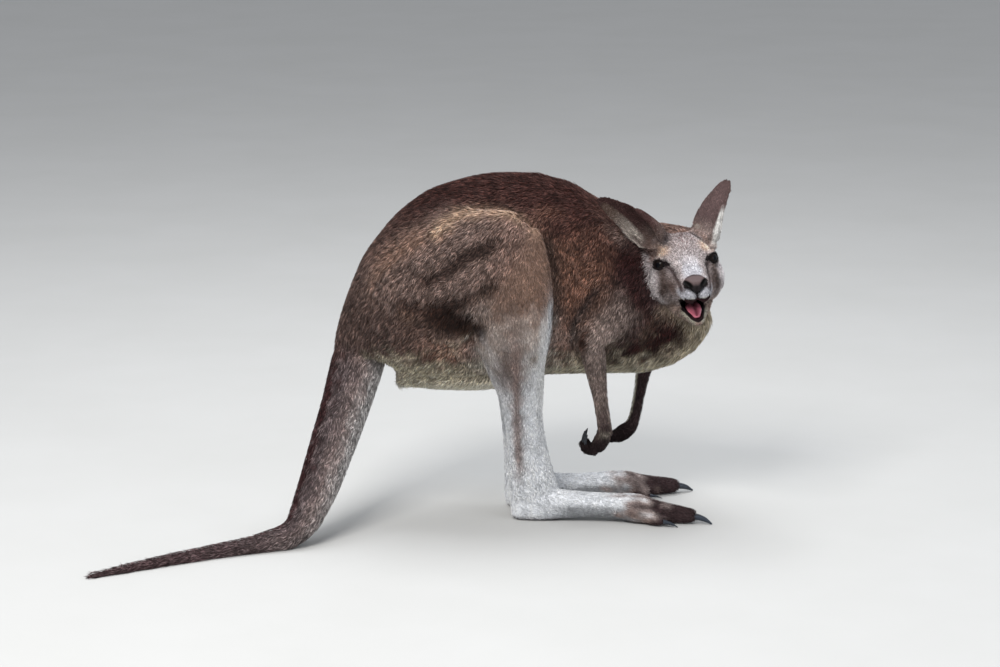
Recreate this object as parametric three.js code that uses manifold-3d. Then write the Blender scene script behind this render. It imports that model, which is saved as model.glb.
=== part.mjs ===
// Eastern grey kangaroo, adult female, crouched on her hind feet with the head turned to her right.
// Millimetres, +X the way the body faces, +Y its left side, +Z up. The body is laid out from a point
// on the floor midway between the heels; the finished group is moved so that the origin is the middle
// of its footprint. Each piece is a closed loft of rounded sections; a piece is cut by its neighbour's
// swollen loft, or parted from it by a thin plane cut, so that the two meet and never overlap.

import * as THREE from 'three';
import { mergeVertices } from 'three/addons/utils/BufferGeometryUtils.js';
import Module from 'manifold-3d';

const wasm = await Module();
wasm.setup();

// ---- driving dimensions --------------------------------------------------------------------------

const GAP = 0.3; // clearance between neighbouring pieces
const SWELL = 0.36; // how much a piece is swollen before its neighbour is cut with it
const SOLE = 2; // how far soles and tail are rounded past the floor before they are cut flat

const BACK_HEIGHT = 604; // top of the arched back
const BELLY_HEIGHT = 249; // underside of the chest and belly
const POUCH_HEIGHT = 223; // underside of the pouch
const FLANK = 124; // half-width of the trunk over the last ribs

const FACE = [295, -98, 467]; // midpoint between the eyes
const HEAD_AZIMUTH = -90.2; // degrees from +X: the face looks over the right side
const HEAD_PITCH = 8; // nose up
const HEAD_ROLL = 6.6; // left side of the head up
const EYE_RADIUS = 14;
const EYE_CENTRE = [5, 40.5, -5]; // left eyeball's centre in the head's frame
const GAPE = 14; // opening of the lower jaw, degrees
const JAW_JOINT = [-35, 0, -30];
const JAW_PARTING = 22; // where the lower jaw leaves the cheeks, along the jaw
const CROWN_PARTING = -64; // where the head leaves the neck
const NOSE_TIP = 118;
const EAR_LENGTH = 125;
const EAR_WIDTH = 56;
const EAR_THICKNESS = 3.6;
const EAR_BEND = 7; // how far the tip leans back from a straight ear
const EAR_ROLL = { root: 2.5, tip: 0.8 }; // half the angle its edges are rolled through, radians
const EAR_CUP = { root: 0.95, tip: 0.42 }; // depth of the hollow to half the width

const HIP = { x: -178, y: 64, z: 400 };
const KNEE = { x: 20, y: 120, z: 503 };
const HEEL = { right: [2, -38], left: [-2, 39] };
const TOE = { right: [331, -92], left: [338, 103] };
const FOOT_TOP = 50; // height of the instep
const FOOT_END = 238; // from the heel to the roots of the toes
const KNEE_FOLD = { at: [-30, 0, 420], to: [0.86, 0, -0.5] }; // the shank lies on the side of `to`

const TAIL_RADIUS = 48; // at the root
const TAIL_END_RADIUS = 5.5;

const SHOULDER = { x: 216, y: 58, z: 424 };
const ELBOW = { right: [137, -112, 322], left: [262, 104, 296] };
const ELBOW_FACING = [0.15, 0, -1]; // the forearm lies on this side of the elbow
const WRIST = { right: [163, -95, 168], left: [229, 66, 140] };
const KNUCKLE = 27; // from the wrist to the roots of the fingers
const FINGER_LENGTH = 39; // the middle finger's; the others are shorter by turns
const FINGER_STEP = { apart: 7.2, splay: 0.1, shorter: 3.4 };

// ---- materials -----------------------------------------------------------------------------------

const matte = (colour) => new THREE.MeshStandardMaterial({ color: colour, roughness: 0.95, metalness: 0 });
const glossy = (colour, roughness) => (
  new THREE.MeshStandardMaterial({ color: colour, roughness, metalness: 0 })
);
const COAT_DARK = matte(0x5d4a40);
const COAT_MID = matte(0x75645a);
const COAT_GREY = matte(0x857a72);
const COAT_PALE = matte(0xbdb6ad);
const COAT_BLACK = matte(0x2b2320);
const HORN = glossy(0x23252a, 0.4);
const EYE = glossy(0x120c09, 0.08);
const TONGUE = glossy(0xb9666d, 0.5);
const NOSE = glossy(0x2a1f1e, 0.55);

// ---- lofts ---------------------------------------------------------------------------------------

const v3 = (a) => new THREE.Vector3(...a);
const degrees = THREE.MathUtils.degToRad;

/**
 * Stations of a limb: each row is x, y, z, half-depth, half-width. The depth lies along `up` as
 * nearly as the limb's direction allows.
 */
function limb(rows, up = [0, 0, 1], shape = {}) {
  const centres = rows.map((row) => v3(row.slice(0, 3)));
  return rows.map((row, i) => {
    const before = centres[Math.max(0, i - 1)];
    const after = centres[Math.min(rows.length - 1, i + 1)];
    const tangent = after.clone().sub(before).normalize();
    const deep = v3(up).addScaledVector(tangent, -v3(up).dot(tangent)).normalize();
    const wide = deep.clone().cross(tangent).normalize();
    return {
      c: centres[i].toArray(),
      u: deep.multiplyScalar(row[3]).toArray(),
      w: wide.multiplyScalar(row[4]).toArray(),
      ...shape,
    };
  });
}

/** A section of trunk, foot or head from its upper and lower points in the plane of symmetry. */
function slice([topX, topZ], [lowX, lowZ], halfWidth, shape = {}) {
  return {
    c: [(topX + lowX) / 2, 0, (topZ + lowZ) / 2],
    u: [(topX - lowX) / 2, 0, (topZ - lowZ) / 2],
    w: [0, -halfWidth, 0],
    ...shape,
  };
}

/**
 * Closed solid through rounded sections. `ends` are the lengths of its two domed ends, 0 for a flat
 * one, and `bows` the hoops of each dome. A section's `square` above 2 squares it off, and its
 * `pear` widens the lower half.
 */
function loft(stations, { sides = 14, ends = [10, 10], bows = [0.7] } = {}) {
  const hoops = [];
  const hoop = ({ c, u, w, square = 2, pear = 0 }, scale = 1, shift = [0, 0, 0]) => {
    const centre = v3(c).add(v3(shift));
    hoops.push(Array.from({ length: sides }, (_, k) => {
      const angle = (k / sides) * 2 * Math.PI;
      const high = Math.sign(Math.cos(angle)) * Math.abs(Math.cos(angle)) ** (2 / square);
      const side = Math.sign(Math.sin(angle)) * Math.abs(Math.sin(angle)) ** (2 / square);
      return centre.clone().addScaledVector(v3(u), high * scale)
        .addScaledVector(v3(w), side * scale * (1 - pear * high));
    }));
  };
  const facing = ({ u, w }) => v3(u).cross(v3(w)).normalize();
  const first = stations[0];
  const last = stations[stations.length - 1];
  const turn = Math.sign(facing(first).dot(v3(stations[1].c).sub(v3(first.c))));
  const startOut = facing(first).multiplyScalar(-turn);
  const endOut = facing(last).multiplyScalar(turn);
  const dome = (station, out, length, b) => hoop(
    station, Math.sqrt(1 - b * b), out.clone().multiplyScalar(length * b).toArray(),
  );
  if (ends[0]) bows.forEach((b) => dome(first, startOut, ends[0], b));
  stations.forEach((station) => hoop(station));
  if (ends[1]) [...bows].reverse().forEach((b) => dome(last, endOut, ends[1], b));
  const startTip = v3(first.c).addScaledVector(startOut, ends[0]);
  const endTip = v3(last.c).addScaledVector(endOut, ends[1]);
  const points = [...hoops.flat(), startTip, endTip];
  const faces = [];
  const at = (ring, k) => ring * sides + (k % sides);
  for (let k = 0; k < sides; k++) {
    faces.push([points.length - 2, at(0, k + 1), at(0, k)]);
    faces.push([points.length - 1, at(hoops.length - 1, k), at(hoops.length - 1, k + 1)]);
    for (let r = 0; r < hoops.length - 1; r++) {
      faces.push([at(r, k), at(r, k + 1), at(r + 1, k)]);
      faces.push([at(r, k + 1), at(r + 1, k + 1), at(r + 1, k)]);
    }
  }
  return solidOf(points, turn > 0 ? faces : faces.map(([a, b, c]) => [a, c, b]));
}

// ---- solids --------------------------------------------------------------------------------------

function solidOfGeometry(geometry) {
  geometry.deleteAttribute('normal');
  geometry.deleteAttribute('uv');
  const merged = mergeVertices(geometry, 1e-4);
  return new wasm.Manifold(new wasm.Mesh({
    numProp: 3,
    vertProperties: new Float32Array(merged.attributes.position.array),
    triVerts: new Uint32Array(merged.index.array),
  }));
}

function solidOf(points, faces) {
  const geometry = new THREE.BufferGeometry().setFromPoints(points);
  geometry.setIndex(faces.flat());
  return solidOfGeometry(geometry);
}

function geometryOf(solid) {
  const mesh = solid.getMesh();
  const geometry = new THREE.BufferGeometry();
  geometry.setAttribute('position', new THREE.BufferAttribute(new Float32Array(mesh.vertProperties), 3));
  geometry.setIndex(new THREE.BufferAttribute(new Uint32Array(mesh.triVerts), 1));
  geometry.computeVertexNormals();
  return geometry;
}

const ball = (radius, centre, around = 12) => solidOfGeometry(
  new THREE.SphereGeometry(radius, around, Math.round(around * 0.6)).translate(...centre),
);
const join = (...solids) => solids.reduce((all, one) => all.add(one));
const cut = (solid, ...others) => others.reduce((rest, one) => rest.subtract(one), solid);
const onFloor = (solid) => solid.trimByPlane([0, 0, 1], 0);
const moved = (solid, matrix) => solid.transform(matrix.elements);

/** A solid grown all over by SWELL, to cut its neighbours with. */
function swollen(solid) {
  const geometry = geometryOf(solid);
  const { position, normal } = geometry.attributes;
  for (let i = 0; i < position.count; i++) {
    const point = new THREE.Vector3().fromBufferAttribute(position, i);
    point.addScaledVector(new THREE.Vector3().fromBufferAttribute(normal, i), SWELL);
    position.setXYZ(i, point.x, point.y, point.z);
  }
  return solidOfGeometry(geometry);
}

/** A solid parted by a plane through `point`: first the side that `normal` points to. */
function parted(solid, point, normal) {
  const n = v3(normal).normalize();
  const offset = n.dot(v3(point));
  return [
    solid.trimByPlane(n.toArray(), offset + GAP / 2),
    solid.trimByPlane(n.clone().negate().toArray(), -offset + GAP / 2),
  ];
}

/** Stands a piece at `root` with its +Z along `tip` and its +X turned towards `front`. */
function standing(root, tip, front) {
  const z = v3(tip).normalize();
  const y = z.clone().cross(v3(front)).normalize();
  return new THREE.Matrix4().makeBasis(y.clone().cross(z), y, z).setPosition(...root);
}

// ---- trunk, pouch and neck -----------------------------------------------------------------------

const trunkWhole = loft([
  slice([-299, 300], [-206, 286], 48),
  slice([-290, 346], [-186, 264], 76),
  slice([-262, 432], [-160, 250], 110, { pear: 0.04 }),
  slice([-222, 498], [-118, 242], FLANK + 4, { pear: 0.08 }),
  slice([-156, 563], [-66, 240], FLANK + 6, { pear: 0.1, square: 2.1 }),
  slice([-74, 595], [-10, 243], FLANK + 5, { pear: 0.12, square: 2.15 }),
  slice([14, BACK_HEIGHT], [56, BELLY_HEIGHT], FLANK + 2, { pear: 0.12, square: 2.15 }),
  slice([84, 593], [116, BELLY_HEIGHT], FLANK - 6, { pear: 0.12, square: 2.15 }),
  slice([148, 563], [180, BELLY_HEIGHT - 1], FLANK - 16, { pear: 0.08, square: 2.1 }),
  slice([204, 526], [240, BELLY_HEIGHT - 2], FLANK - 27, { pear: 0.04 }),
  slice([246, 486], [292, 262], FLANK - 38, { pear: -0.05 }),
  slice([284, 440], [330, 288], FLANK - 48, { pear: -0.12 }),
  slice([314, 408], [352, 322], FLANK - 64, { pear: -0.16 }),
], { sides: 20, ends: [0, 16] });

const pouchWhole = loft([
  slice([-176, 300], [-184, 246], 48),
  slice([-146, 312], [-150, 229], 66),
  slice([-100, 316], [-98, POUCH_HEIGHT], 76),
  slice([-40, 314], [-36, POUCH_HEIGHT], 76),
  slice([16, 300], [18, 235], 62),
], { sides: 12, ends: [14, 26] });

const neckWhole = loft(limb([
  [232, 0, 410, 96, 82],
  [262, -3, 428, 88, 78],
  [284, -18, 442, 79, 73],
  [296, -48, 447, 65, 66],
  [297, -86, 447, 54, 60],
], [0, -0.2, 1]), { sides: 14, ends: [0, 0] });

// ---- head: its own frame has the origin between the eyes, +X to the nose, +Y its left ------------

const headFrame = new THREE.Matrix4().makeRotationFromEuler(new THREE.Euler(
  degrees(HEAD_ROLL), degrees(-HEAD_PITCH), degrees(HEAD_AZIMUTH), 'ZYX',
)).setPosition(...FACE);
const jawFrame = new THREE.Matrix4().makeTranslation(...JAW_JOINT)
  .multiply(new THREE.Matrix4().makeRotationY(degrees(GAPE)))
  .multiply(new THREE.Matrix4().makeTranslation(...JAW_JOINT.map((n) => -n)));
const inHead = (solid) => moved(solid, headFrame.clone().invert());

const skull = loft([
  slice([-84, 26], [-78, -56], 48, { pear: 0.1 }),
  slice([-60, 40], [-56, -78], 61, { pear: 0.22 }),
  slice([-30, 46], [-28, -88], 65, { pear: 0.28 }),
  slice([-4, 41], [-4, -86], 59, { pear: 0.28 }),
  slice([20, 28], [18, -81], 48, { pear: 0.28 }),
  slice([44, 12], [40, -73], 38.5, { pear: 0.22 }),
  slice([68, -3], [64, -67], 33.5, { pear: 0.16, square: 2.2 }),
  slice([92, -15], [90, -64], 29.5, { pear: 0.12, square: 2.3 }),
  slice([108, -26], [108, -62], 25, { pear: 0.08, square: 2.3 }),
], { sides: 18, ends: [12, NOSE_TIP - 109], bows: [0.87, 0.5] });

const mandible = moved(loft([
  slice([-40, -36], [-34, -82], 46),
  slice([-10, -46], [-8, -88], 43),
  slice([24, -54], [26, -87], 33),
  slice([52, -58], [56, -84], 25, { square: 2.2 }),
  slice([76, -60], [80, -81], 20.5, { square: 2.2 }),
  slice([90, -61], [93, -77], 16, { square: 2.2 }),
], { sides: 12, ends: [10, 7] }), jawFrame);

/** The open mouth, from the throat to the lips, and the trough of the lower jaw. */
const mouthHollow = moved(loft([
  slice([8, -54], [8, -64], 13),
  slice([30, -44], [30, -68], 21),
  slice([60, -35], [60, -68.5], 19.5),
  slice([86, -28], [84, -68], 15.5),
  slice([116, -18], [104, -63], 12),
], { sides: 10, ends: [8, 0] }), jawFrame);

const eyeBall = (side) => ball(EYE_RADIUS, [EYE_CENTRE[0], side * EYE_CENTRE[1], EYE_CENTRE[2]]);

const nosePad = loft([
  slice([97, -20], [100, -46], 18),
  slice([107, -24], [109, -49], 21, { square: 2.3 }),
  slice([114, -28.5], [116, -51], 18.5, { square: 2.3 }),
], { sides: 12, ends: [2, 6] });

const tongue = moved(loft([
  slice([14, -60], [14, -66], 12),
  slice([40, -57], [40, -67.5], 15),
  slice([64, -56], [64, -68], 14),
  slice([80, -58], [80, -67.5], 11),
], { sides: 10, ends: [6, 6] }), jawFrame);

// ---- ears ----------------------------------------------------------------------------------------

/**
 * A cupped ear standing on its frame: +Z to the tip, the hollow side to +X. Its edges curl round
 * into a funnel at the root.
 */
function ear() {
  const rows = 6;
  const columns = 6;
  const surface = (inset) => Array.from({ length: rows + 1 }, (_, i) => {
    const t = i / rows;
    const outline = Math.sin(Math.PI * (0.2 + 0.74 * t ** 0.85)) ** 0.75;
    const width = (EAR_WIDTH / 2) * outline - inset;
    const curl = THREE.MathUtils.lerp(EAR_ROLL.root, EAR_ROLL.tip, Math.min(1, t * 1.6));
    const depth = THREE.MathUtils.lerp(EAR_CUP.root, EAR_CUP.tip, t) * width;
    return Array.from({ length: columns + 1 }, (_, k) => {
      const angle = (k / columns - 0.5) * 2 * curl;
      const spread = Math.sin(angle) / Math.sin(Math.min(curl, Math.PI / 2));
      const bent = depth * (0.6 - Math.cos(angle)) - EAR_BEND * t * t;
      return new THREE.Vector3(bent, width * spread, EAR_LENGTH * t - (t === 1 ? inset : 0));
    });
  });
  const points = [...surface(0).flat(), ...surface(EAR_THICKNESS).flat()];
  const faces = [];
  const at = (layer, i, k) => (layer * (rows + 1) + i) * (columns + 1) + k;
  const quad = (a, b, c, d) => faces.push([a, c, b], [a, d, c]);
  for (let i = 0; i < rows; i++) {
    for (let k = 0; k < columns; k++) {
      quad(at(0, i, k), at(0, i, k + 1), at(0, i + 1, k + 1), at(0, i + 1, k));
      quad(at(1, i, k), at(1, i + 1, k), at(1, i + 1, k + 1), at(1, i, k + 1));
    }
    quad(at(0, i, 0), at(0, i + 1, 0), at(1, i + 1, 0), at(1, i, 0));
    quad(at(0, i, columns), at(1, i, columns), at(1, i + 1, columns), at(0, i + 1, columns));
  }
  for (let k = 0; k < columns; k++) {
    quad(at(0, 0, k), at(1, 0, k), at(1, 0, k + 1), at(0, 0, k + 1));
    quad(at(0, rows, k), at(0, rows, k + 1), at(1, rows, k + 1), at(1, rows, k));
  }
  return solidOf(points, faces);
}

const EAR_FRAMES = {
  right: standing([254, -67, 500], [-0.83, -0.29, 0.53], [0.1, -0.7, -0.7]),
  left: standing([322, -54, 489], [0.48, 0.52, 0.68], [0.62, 0.78, -0.1]),
};

// ---- hind legs -----------------------------------------------------------------------------------

/** Rows of stations written for the left side, turned to the right side where `side` is -1. */
const sided = (side, rows) => rows.map(([x, y, ...rest]) => [x, side * y, ...rest]);

const thigh = (side) => loft(limb(sided(side, [
  [HIP.x - 34, HIP.y - 4, HIP.z - 26, 68, 46],
  [HIP.x, HIP.y + 4, HIP.z - 6, 94, 62],
  [-124, 76, 420, 113, 70],
  [-74, 90, 443, 116, 70],
  [-24, 106, 470, 100, 59],
  [KNEE.x, KNEE.y, KNEE.z, 66, 44],
]), [-0.45, side * -0.2, 0.9]), { sides: 14, ends: [26, 24] });

const shank = (side) => loft(limb(sided(side, [
  [4, 122, 514, 50, 38],
  [-2, 127, 460, 68, 46],
  [-2, 126, 395, 72, 46],
  [2, 118, 335, 65, 42],
  [9, 102, 280, 50, 35],
  [19, 86, 232, 39, 29],
  [24, 72, 182, 33.5, 26],
  [31, 61, 130, 35, 24.5],
  [38, 52, 84, 40, 25],
  [44, 46, 46, 46, 25],
]), [1, 0, 0]), { sides: 14, ends: [24, 18] });

/** Frame of a foot: +X from heel to toe along the floor. */
function footFrame(name) {
  const [heelX, heelY] = HEEL[name];
  const [toeX, toeY] = TOE[name];
  return new THREE.Matrix4().makeRotationZ(Math.atan2(toeY - heelY, toeX - heelX))
    .setPosition(heelX, heelY, 0);
}

const foot = loft([
  slice([14, 52], [14, -SOLE], 19, { square: 2.6 }),
  slice([34, 66], [34, -SOLE], 24, { square: 2.6 }),
  slice([62, 62], [62, -1], 25, { square: 2.4 }),
  slice([96, 54], [96, 4], 24),
  slice([140, FOOT_TOP], [140, 7], 23),
  slice([190, FOOT_TOP + 1], [190, 5], 25.5),
  slice([216, FOOT_TOP + 1], [216, -SOLE], 30, { square: 2.3 }),
  slice([FOOT_END, 47], [FOOT_END, -SOLE], 30, { square: 2.3 }),
], { sides: 12, ends: [14, 0] });

/** Toes and their claws in the foot's frame, +Y being the outer side of the foot. */
const TOES = {
  fourth: {
    rows: [
      [FOOT_END - 8, 2, 23, 25, 21], [268, 3, 18.5, 20.5, 19.5],
      [296, 4, 16, 18, 17.5], [320, 5, 14, 16, 15.5],
    ],
    claw: [[327, 5, 14, 6.5, 6], [337, 6, 10, 5.2, 4.6], [346, 7, 4.5, 2.8, 2.4]],
  },
  fifth: {
    rows: [[FOOT_END - 8, 18, 14, 16, 13], [254, 27, 11, 13, 11.5], [268, 30, 9.5, 11, 10]],
    claw: [[274, 30, 10, 4.2, 3.6], [281, 31, 7.5, 3.2, 2.8], [288, 32, 4, 1.5, 1.3]],
  },
  second: {
    rows: [[FOOT_END - 8, -17, 11.5, 13.5, 9.5], [250, -23, 9, 11, 9], [260, -25, 7.5, 9.5, 8]],
    claw: [[265, -26, 8.5, 3.4, 2.4], [271, -27, 6.5, 2.6, 2], [277, -28, 3.9, 1.2, 1.1]],
  },
};
const toes = (side) => join(...Object.values(TOES).map(({ rows }) => loft(
  limb(sided(side, rows)), { sides: 8, ends: [0, 8] },
))).trimByPlane([1, 0, 0], FOOT_END + GAP);
const claw = (rows) => loft(limb(rows), { sides: 6, ends: [0, 7] });

// ---- tail ----------------------------------------------------------------------------------------

const TAIL_ROWS = [
  [-243, -2, 316, TAIL_RADIUS - 3, TAIL_RADIUS],
  [-259, -18, 272, TAIL_RADIUS - 1, TAIL_RADIUS - 3],
  [-280, -62, 212, 43, 41],
  [-306, -108, 148, 40, 38],
  [-329, -146, 92, 36, 34],
  [-352, -174, 46, 30, 29],
  [-365, -185, 31, 26, 25],
  [-386, -196, 20.5, 22.5, 22],
  [-436, -215, 14, 16, 16],
  [-500, -240, 11.2, 13.2, 13.2],
  [-570, -274, 9.2, 11.2, 11.2],
  [-640, -312, 7, 9, 9],
  [-700, -344, 4.6, TAIL_END_RADIUS + 1, TAIL_END_RADIUS + 0.5],
];
const TAIL_SPLITS = [3, 7];
/** A length of tail from one row to another; the next length starts GAP further on. */
function tail(from, to) {
  const rows = limb(TAIL_ROWS, [-1, 0, 0.6]).slice(from, to + 1);
  const last = to === TAIL_ROWS.length - 1;
  if (from > 0) {
    const start = v3(rows[0].c);
    rows[0] = { ...rows[0], c: start.add(v3(rows[1].c).sub(start).setLength(GAP)).toArray() };
  }
  return onFloor(loft(rows, { sides: 12, ends: [from === 0 ? 26 : 0, last ? 6 : 0] }));
}

// ---- arms ----------------------------------------------------------------------------------------

const between = (a, b, t) => a.map((n, i) => n + (b[i] - n) * t);
const shoulderOf = (side) => [SHOULDER.x, side * SHOULDER.y, SHOULDER.z];

const upperArm = (side, elbow) => {
  const shoulder = shoulderOf(side);
  return loft(limb([
    [...shoulder, 44, 30],
    [...between(shoulder, elbow, 0.4), 44, 32],
    [...between(shoulder, elbow, 0.75), 34, 27],
    [...elbow, 24, 21],
  ], [-0.8, 0, 0.6]), { sides: 10, ends: [28, 14] });
};

const forearm = (elbow, wrist) => loft(limb([
  [...elbow, 23, 20],
  [...between(elbow, wrist, 0.25), 20, 18.5],
  [...between(elbow, wrist, 0.6), 14, 13],
  [...wrist, 13, 12],
], [1, 0, 0]), { sides: 10, ends: [16, 10] });

/** Fingers in the hand's frame: +X from the wrist to the knuckles, -Z the palm they curl towards. */
const FINGERS = [-2, -1, 0, 1, 2].map((place) => ({
  y: place * FINGER_STEP.apart,
  splay: place * FINGER_STEP.splay,
  length: FINGER_LENGTH - Math.abs(place) * FINGER_STEP.shorter,
}));
const fingerPoint = ({ y, splay, length }, t, curl) => {
  const bend = curl * t;
  return [
    KNUCKLE + length * Math.sin(bend) / curl,
    y + splay * length * t,
    -2 - length * (1 - Math.cos(bend)) / curl,
  ];
};
const fingers = (curl) => join(...FINGERS.map((finger) => loft(limb([
  [...fingerPoint(finger, -0.2, curl), 7, 5.2],
  [...fingerPoint(finger, 0.35, curl), 6.4, 4.9],
  [...fingerPoint(finger, 0.75, curl), 5.8, 4.6],
  [...fingerPoint(finger, 1, curl), 4.9, 4.2],
], [1, 0, 0.4]), { sides: 5, ends: [0, 0] })));
const hand = (curl) => join(
  loft(limb([[-2, 0, 0, 11, 12], [14, 0, 0, 11.5, 16], [KNUCKLE, 0, -1, 9.5, 19]]),
    { sides: 8, ends: [8, 8] }),
  fingers(curl),
);
const fingerClaw = (finger, curl) => {
  const root = fingerPoint(finger, 1, curl);
  const point = (d, more) => [
    root[0] + d * Math.cos(curl + more), root[1] + finger.splay * d,
    root[2] - d * Math.sin(curl + more),
  ];
  return loft(limb([
    [...point(-1.5, 0), 3.6, 2.8], [...point(10, 0.06), 2.6, 1.8], [...point(17, 0.14), 1.6, 1.1],
  ], [1, 0, 0.4]), { sides: 5, ends: [0, 4] });
};

/** Frame of a hand: +X to the knuckles along `fingers`, +Z the back of the hand. */
function handFrame(wrist, fingers, back) {
  const x = v3(fingers).normalize();
  const y = v3(back).cross(x).normalize();
  return new THREE.Matrix4().makeBasis(x, y, x.clone().cross(y)).setPosition(...wrist);
}
const HANDS = {
  right: { frame: handFrame([162, -95, 167], [-0.36, 0.02, -0.93], [0.93, -0.1, -0.36]), curl: 2.8 },
  left: { frame: handFrame([222, 64, 133], [-0.8, -0.3, -0.55], [0.55, -0.1, -0.83]), curl: 1.9 },
};

// ---- assembly ------------------------------------------------------------------------------------

const kangaroo = new THREE.Group();
const body = new THREE.Group();
const head = new THREE.Group();
kangaroo.add(body);
body.add(head);
head.applyMatrix4(headFrame);

function add(parent, name, solid, material) {
  const mesh = new THREE.Mesh(geometryOf(solid), material);
  mesh.name = name;
  parent.add(mesh);
}

// The head and the neck meet at a plane behind the crown, the head and the lower jaw below the cheeks.
const crown = { at: [CROWN_PARTING, 0, 0], facing: [1, 0, -0.2] };
const trunkHole = swollen(trunkWhole);
const tongueHole = swollen(tongue);
const [jawFront, jawBack] = parted(mandible, [JAW_PARTING, 0, -70], [1, 0, -0.3]);
const headWhole = cut(
  join(skull, jawBack),
  mouthHollow, tongueHole, swollen(nosePad), swollen(eyeBall(1)), swollen(eyeBall(-1)), inHead(trunkHole),
);
add(head, 'head', parted(headWhole, crown.at, crown.facing)[0], COAT_GREY);
add(head, 'lower_jaw', cut(jawFront, swollen(skull), mouthHollow, tongueHole), COAT_GREY);
add(head, 'eye_left', eyeBall(1), EYE);
add(head, 'eye_right', eyeBall(-1), EYE);
add(head, 'nose', nosePad, NOSE);
add(head, 'tongue', tongue, TONGUE);
add(head, 'neck', cut(parted(inHead(neckWhole), crown.at, crown.facing)[1], inHead(trunkHole)), COAT_MID);
add(body, 'trunk', trunkWhole, COAT_DARK);

const headHole = swollen(join(moved(skull, headFrame), neckWhole));
const legHoles = [];
for (const [name, side] of [['right', -1], ['left', 1]]) {
  add(body, `ear_${name}`, cut(moved(ear(), EAR_FRAMES[name]), headHole), COAT_MID);

  const frame = footFrame(name);
  const thighWhole = parted(thigh(side), KNEE_FOLD.at, KNEE_FOLD.to)[1];
  const shankWhole = parted(shank(side), KNEE_FOLD.at, KNEE_FOLD.to)[0];
  const toesWhole = onFloor(toes(side));
  const toesHole = swollen(toes(side));
  add(body, `thigh_${name}`, cut(thighWhole, trunkHole), COAT_MID);
  add(body, `shank_${name}`, cut(shankWhole, trunkHole, moved(swollen(foot), frame)), COAT_GREY);
  add(body, `foot_${name}`, moved(onFloor(foot), frame), COAT_PALE);
  add(body, `toes_${name}`, moved(toesWhole, frame), COAT_BLACK);
  Object.entries(TOES).forEach(([which, { claw: rows }]) => {
    const clawSolid = cut(onFloor(claw(sided(side, rows))), toesHole);
    add(body, `claw_${which}_${name}`, moved(clawSolid, frame), HORN);
  });
  legHoles.push(swollen(thighWhole), swollen(shankWhole));

  const elbow = ELBOW[name];
  const armWhole = parted(upperArm(side, elbow), elbow, ELBOW_FACING)[1];
  const forearmWhole = parted(forearm(elbow, WRIST[name]), elbow, ELBOW_FACING)[0];
  const { frame: handPlace, curl } = HANDS[name];
  const fingersHole = swollen(fingers(curl));
  add(body, `upper_arm_${name}`, cut(armWhole, trunkHole), COAT_MID);
  add(body, `forearm_${name}`, cut(forearmWhole, trunkHole), COAT_GREY);
  add(body, `hand_${name}`, cut(moved(hand(curl), handPlace), swollen(forearmWhole)), COAT_BLACK);
  FINGERS.forEach((finger, i) => {
    const clawSolid = cut(fingerClaw(finger, curl), fingersHole);
    add(body, `finger_claw_${i + 1}_${name}`, moved(clawSolid, handPlace), HORN);
  });
}
add(body, 'pouch', cut(pouchWhole, trunkHole, ...legHoles), COAT_PALE);

add(body, 'tail_base', cut(tail(0, TAIL_SPLITS[0]), trunkHole), COAT_MID);
add(body, 'tail_middle', tail(TAIL_SPLITS[0], TAIL_SPLITS[1]), COAT_MID);
add(body, 'tail_tip', tail(TAIL_SPLITS[1], TAIL_ROWS.length - 1), COAT_BLACK);

const bounds = new THREE.Box3().setFromObject(kangaroo);
const middle = bounds.getCenter(new THREE.Vector3());
body.position.set(-middle.x, -middle.y, 0);

export default kangaroo;
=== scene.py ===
"""A grey kangaroo at life size, bent forward on its hind legs with its head turned to one side.

The flesh of the frame becomes one skin, sunk by the depth of the coat, and solid tufts of fur grow
on it along the lie of the coat. Eyes, lids, nose, mouth and claws are pieces of their own.
"""

import math

import bpy
import numpy as np
from mathutils import Matrix, Vector
from mathutils.bvhtree import BVHTree


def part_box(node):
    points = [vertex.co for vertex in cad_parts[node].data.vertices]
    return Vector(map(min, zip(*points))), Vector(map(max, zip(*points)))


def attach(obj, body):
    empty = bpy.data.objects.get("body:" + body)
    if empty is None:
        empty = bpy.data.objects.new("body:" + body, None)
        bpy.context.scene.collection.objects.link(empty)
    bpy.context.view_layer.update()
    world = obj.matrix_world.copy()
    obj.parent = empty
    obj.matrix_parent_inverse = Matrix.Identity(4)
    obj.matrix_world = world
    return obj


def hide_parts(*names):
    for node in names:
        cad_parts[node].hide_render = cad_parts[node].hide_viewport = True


bl_info = {
    "name": "Grey kangaroo",
    "version": (1, 0, 0),
    "blender": (4, 5, 0),
    "location": "View3D > Sidebar > Kangaroo",
    "description": "Skin, coat, eyes, mouth and claws of a life-size grey kangaroo",
    "category": "Object",
}

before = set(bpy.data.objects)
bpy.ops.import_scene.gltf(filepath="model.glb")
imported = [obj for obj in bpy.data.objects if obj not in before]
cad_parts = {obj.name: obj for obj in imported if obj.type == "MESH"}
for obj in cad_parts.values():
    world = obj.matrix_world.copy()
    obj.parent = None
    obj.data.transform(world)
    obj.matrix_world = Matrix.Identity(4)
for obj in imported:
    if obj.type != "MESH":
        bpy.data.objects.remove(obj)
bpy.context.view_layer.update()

# ---------------------------------------------------------------- tables and sizes
# Places and lengths are in metres and in the frame's axes where nothing else is said.

SIDES = ("right", "left")
HANDED = {"right": -1.0, "left": 1.0}

# The head: where its axes start, how far it is turned, raised and tilted, and its axes.
HEAD_AT = np.array(Vector((0.4547, -0.0090, 0.4670)))
HEAD_TURN = math.radians(-90.2)
HEAD_RISE = math.radians(8.0)
HEAD_TILT = math.radians(6.6)
HEAD = np.array(
    Matrix.Rotation(HEAD_TURN, 3, "Z")
    @ Matrix.Rotation(-HEAD_RISE, 3, "Y")
    @ Matrix.Rotation(HEAD_TILT, 3, "X")
)
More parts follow.
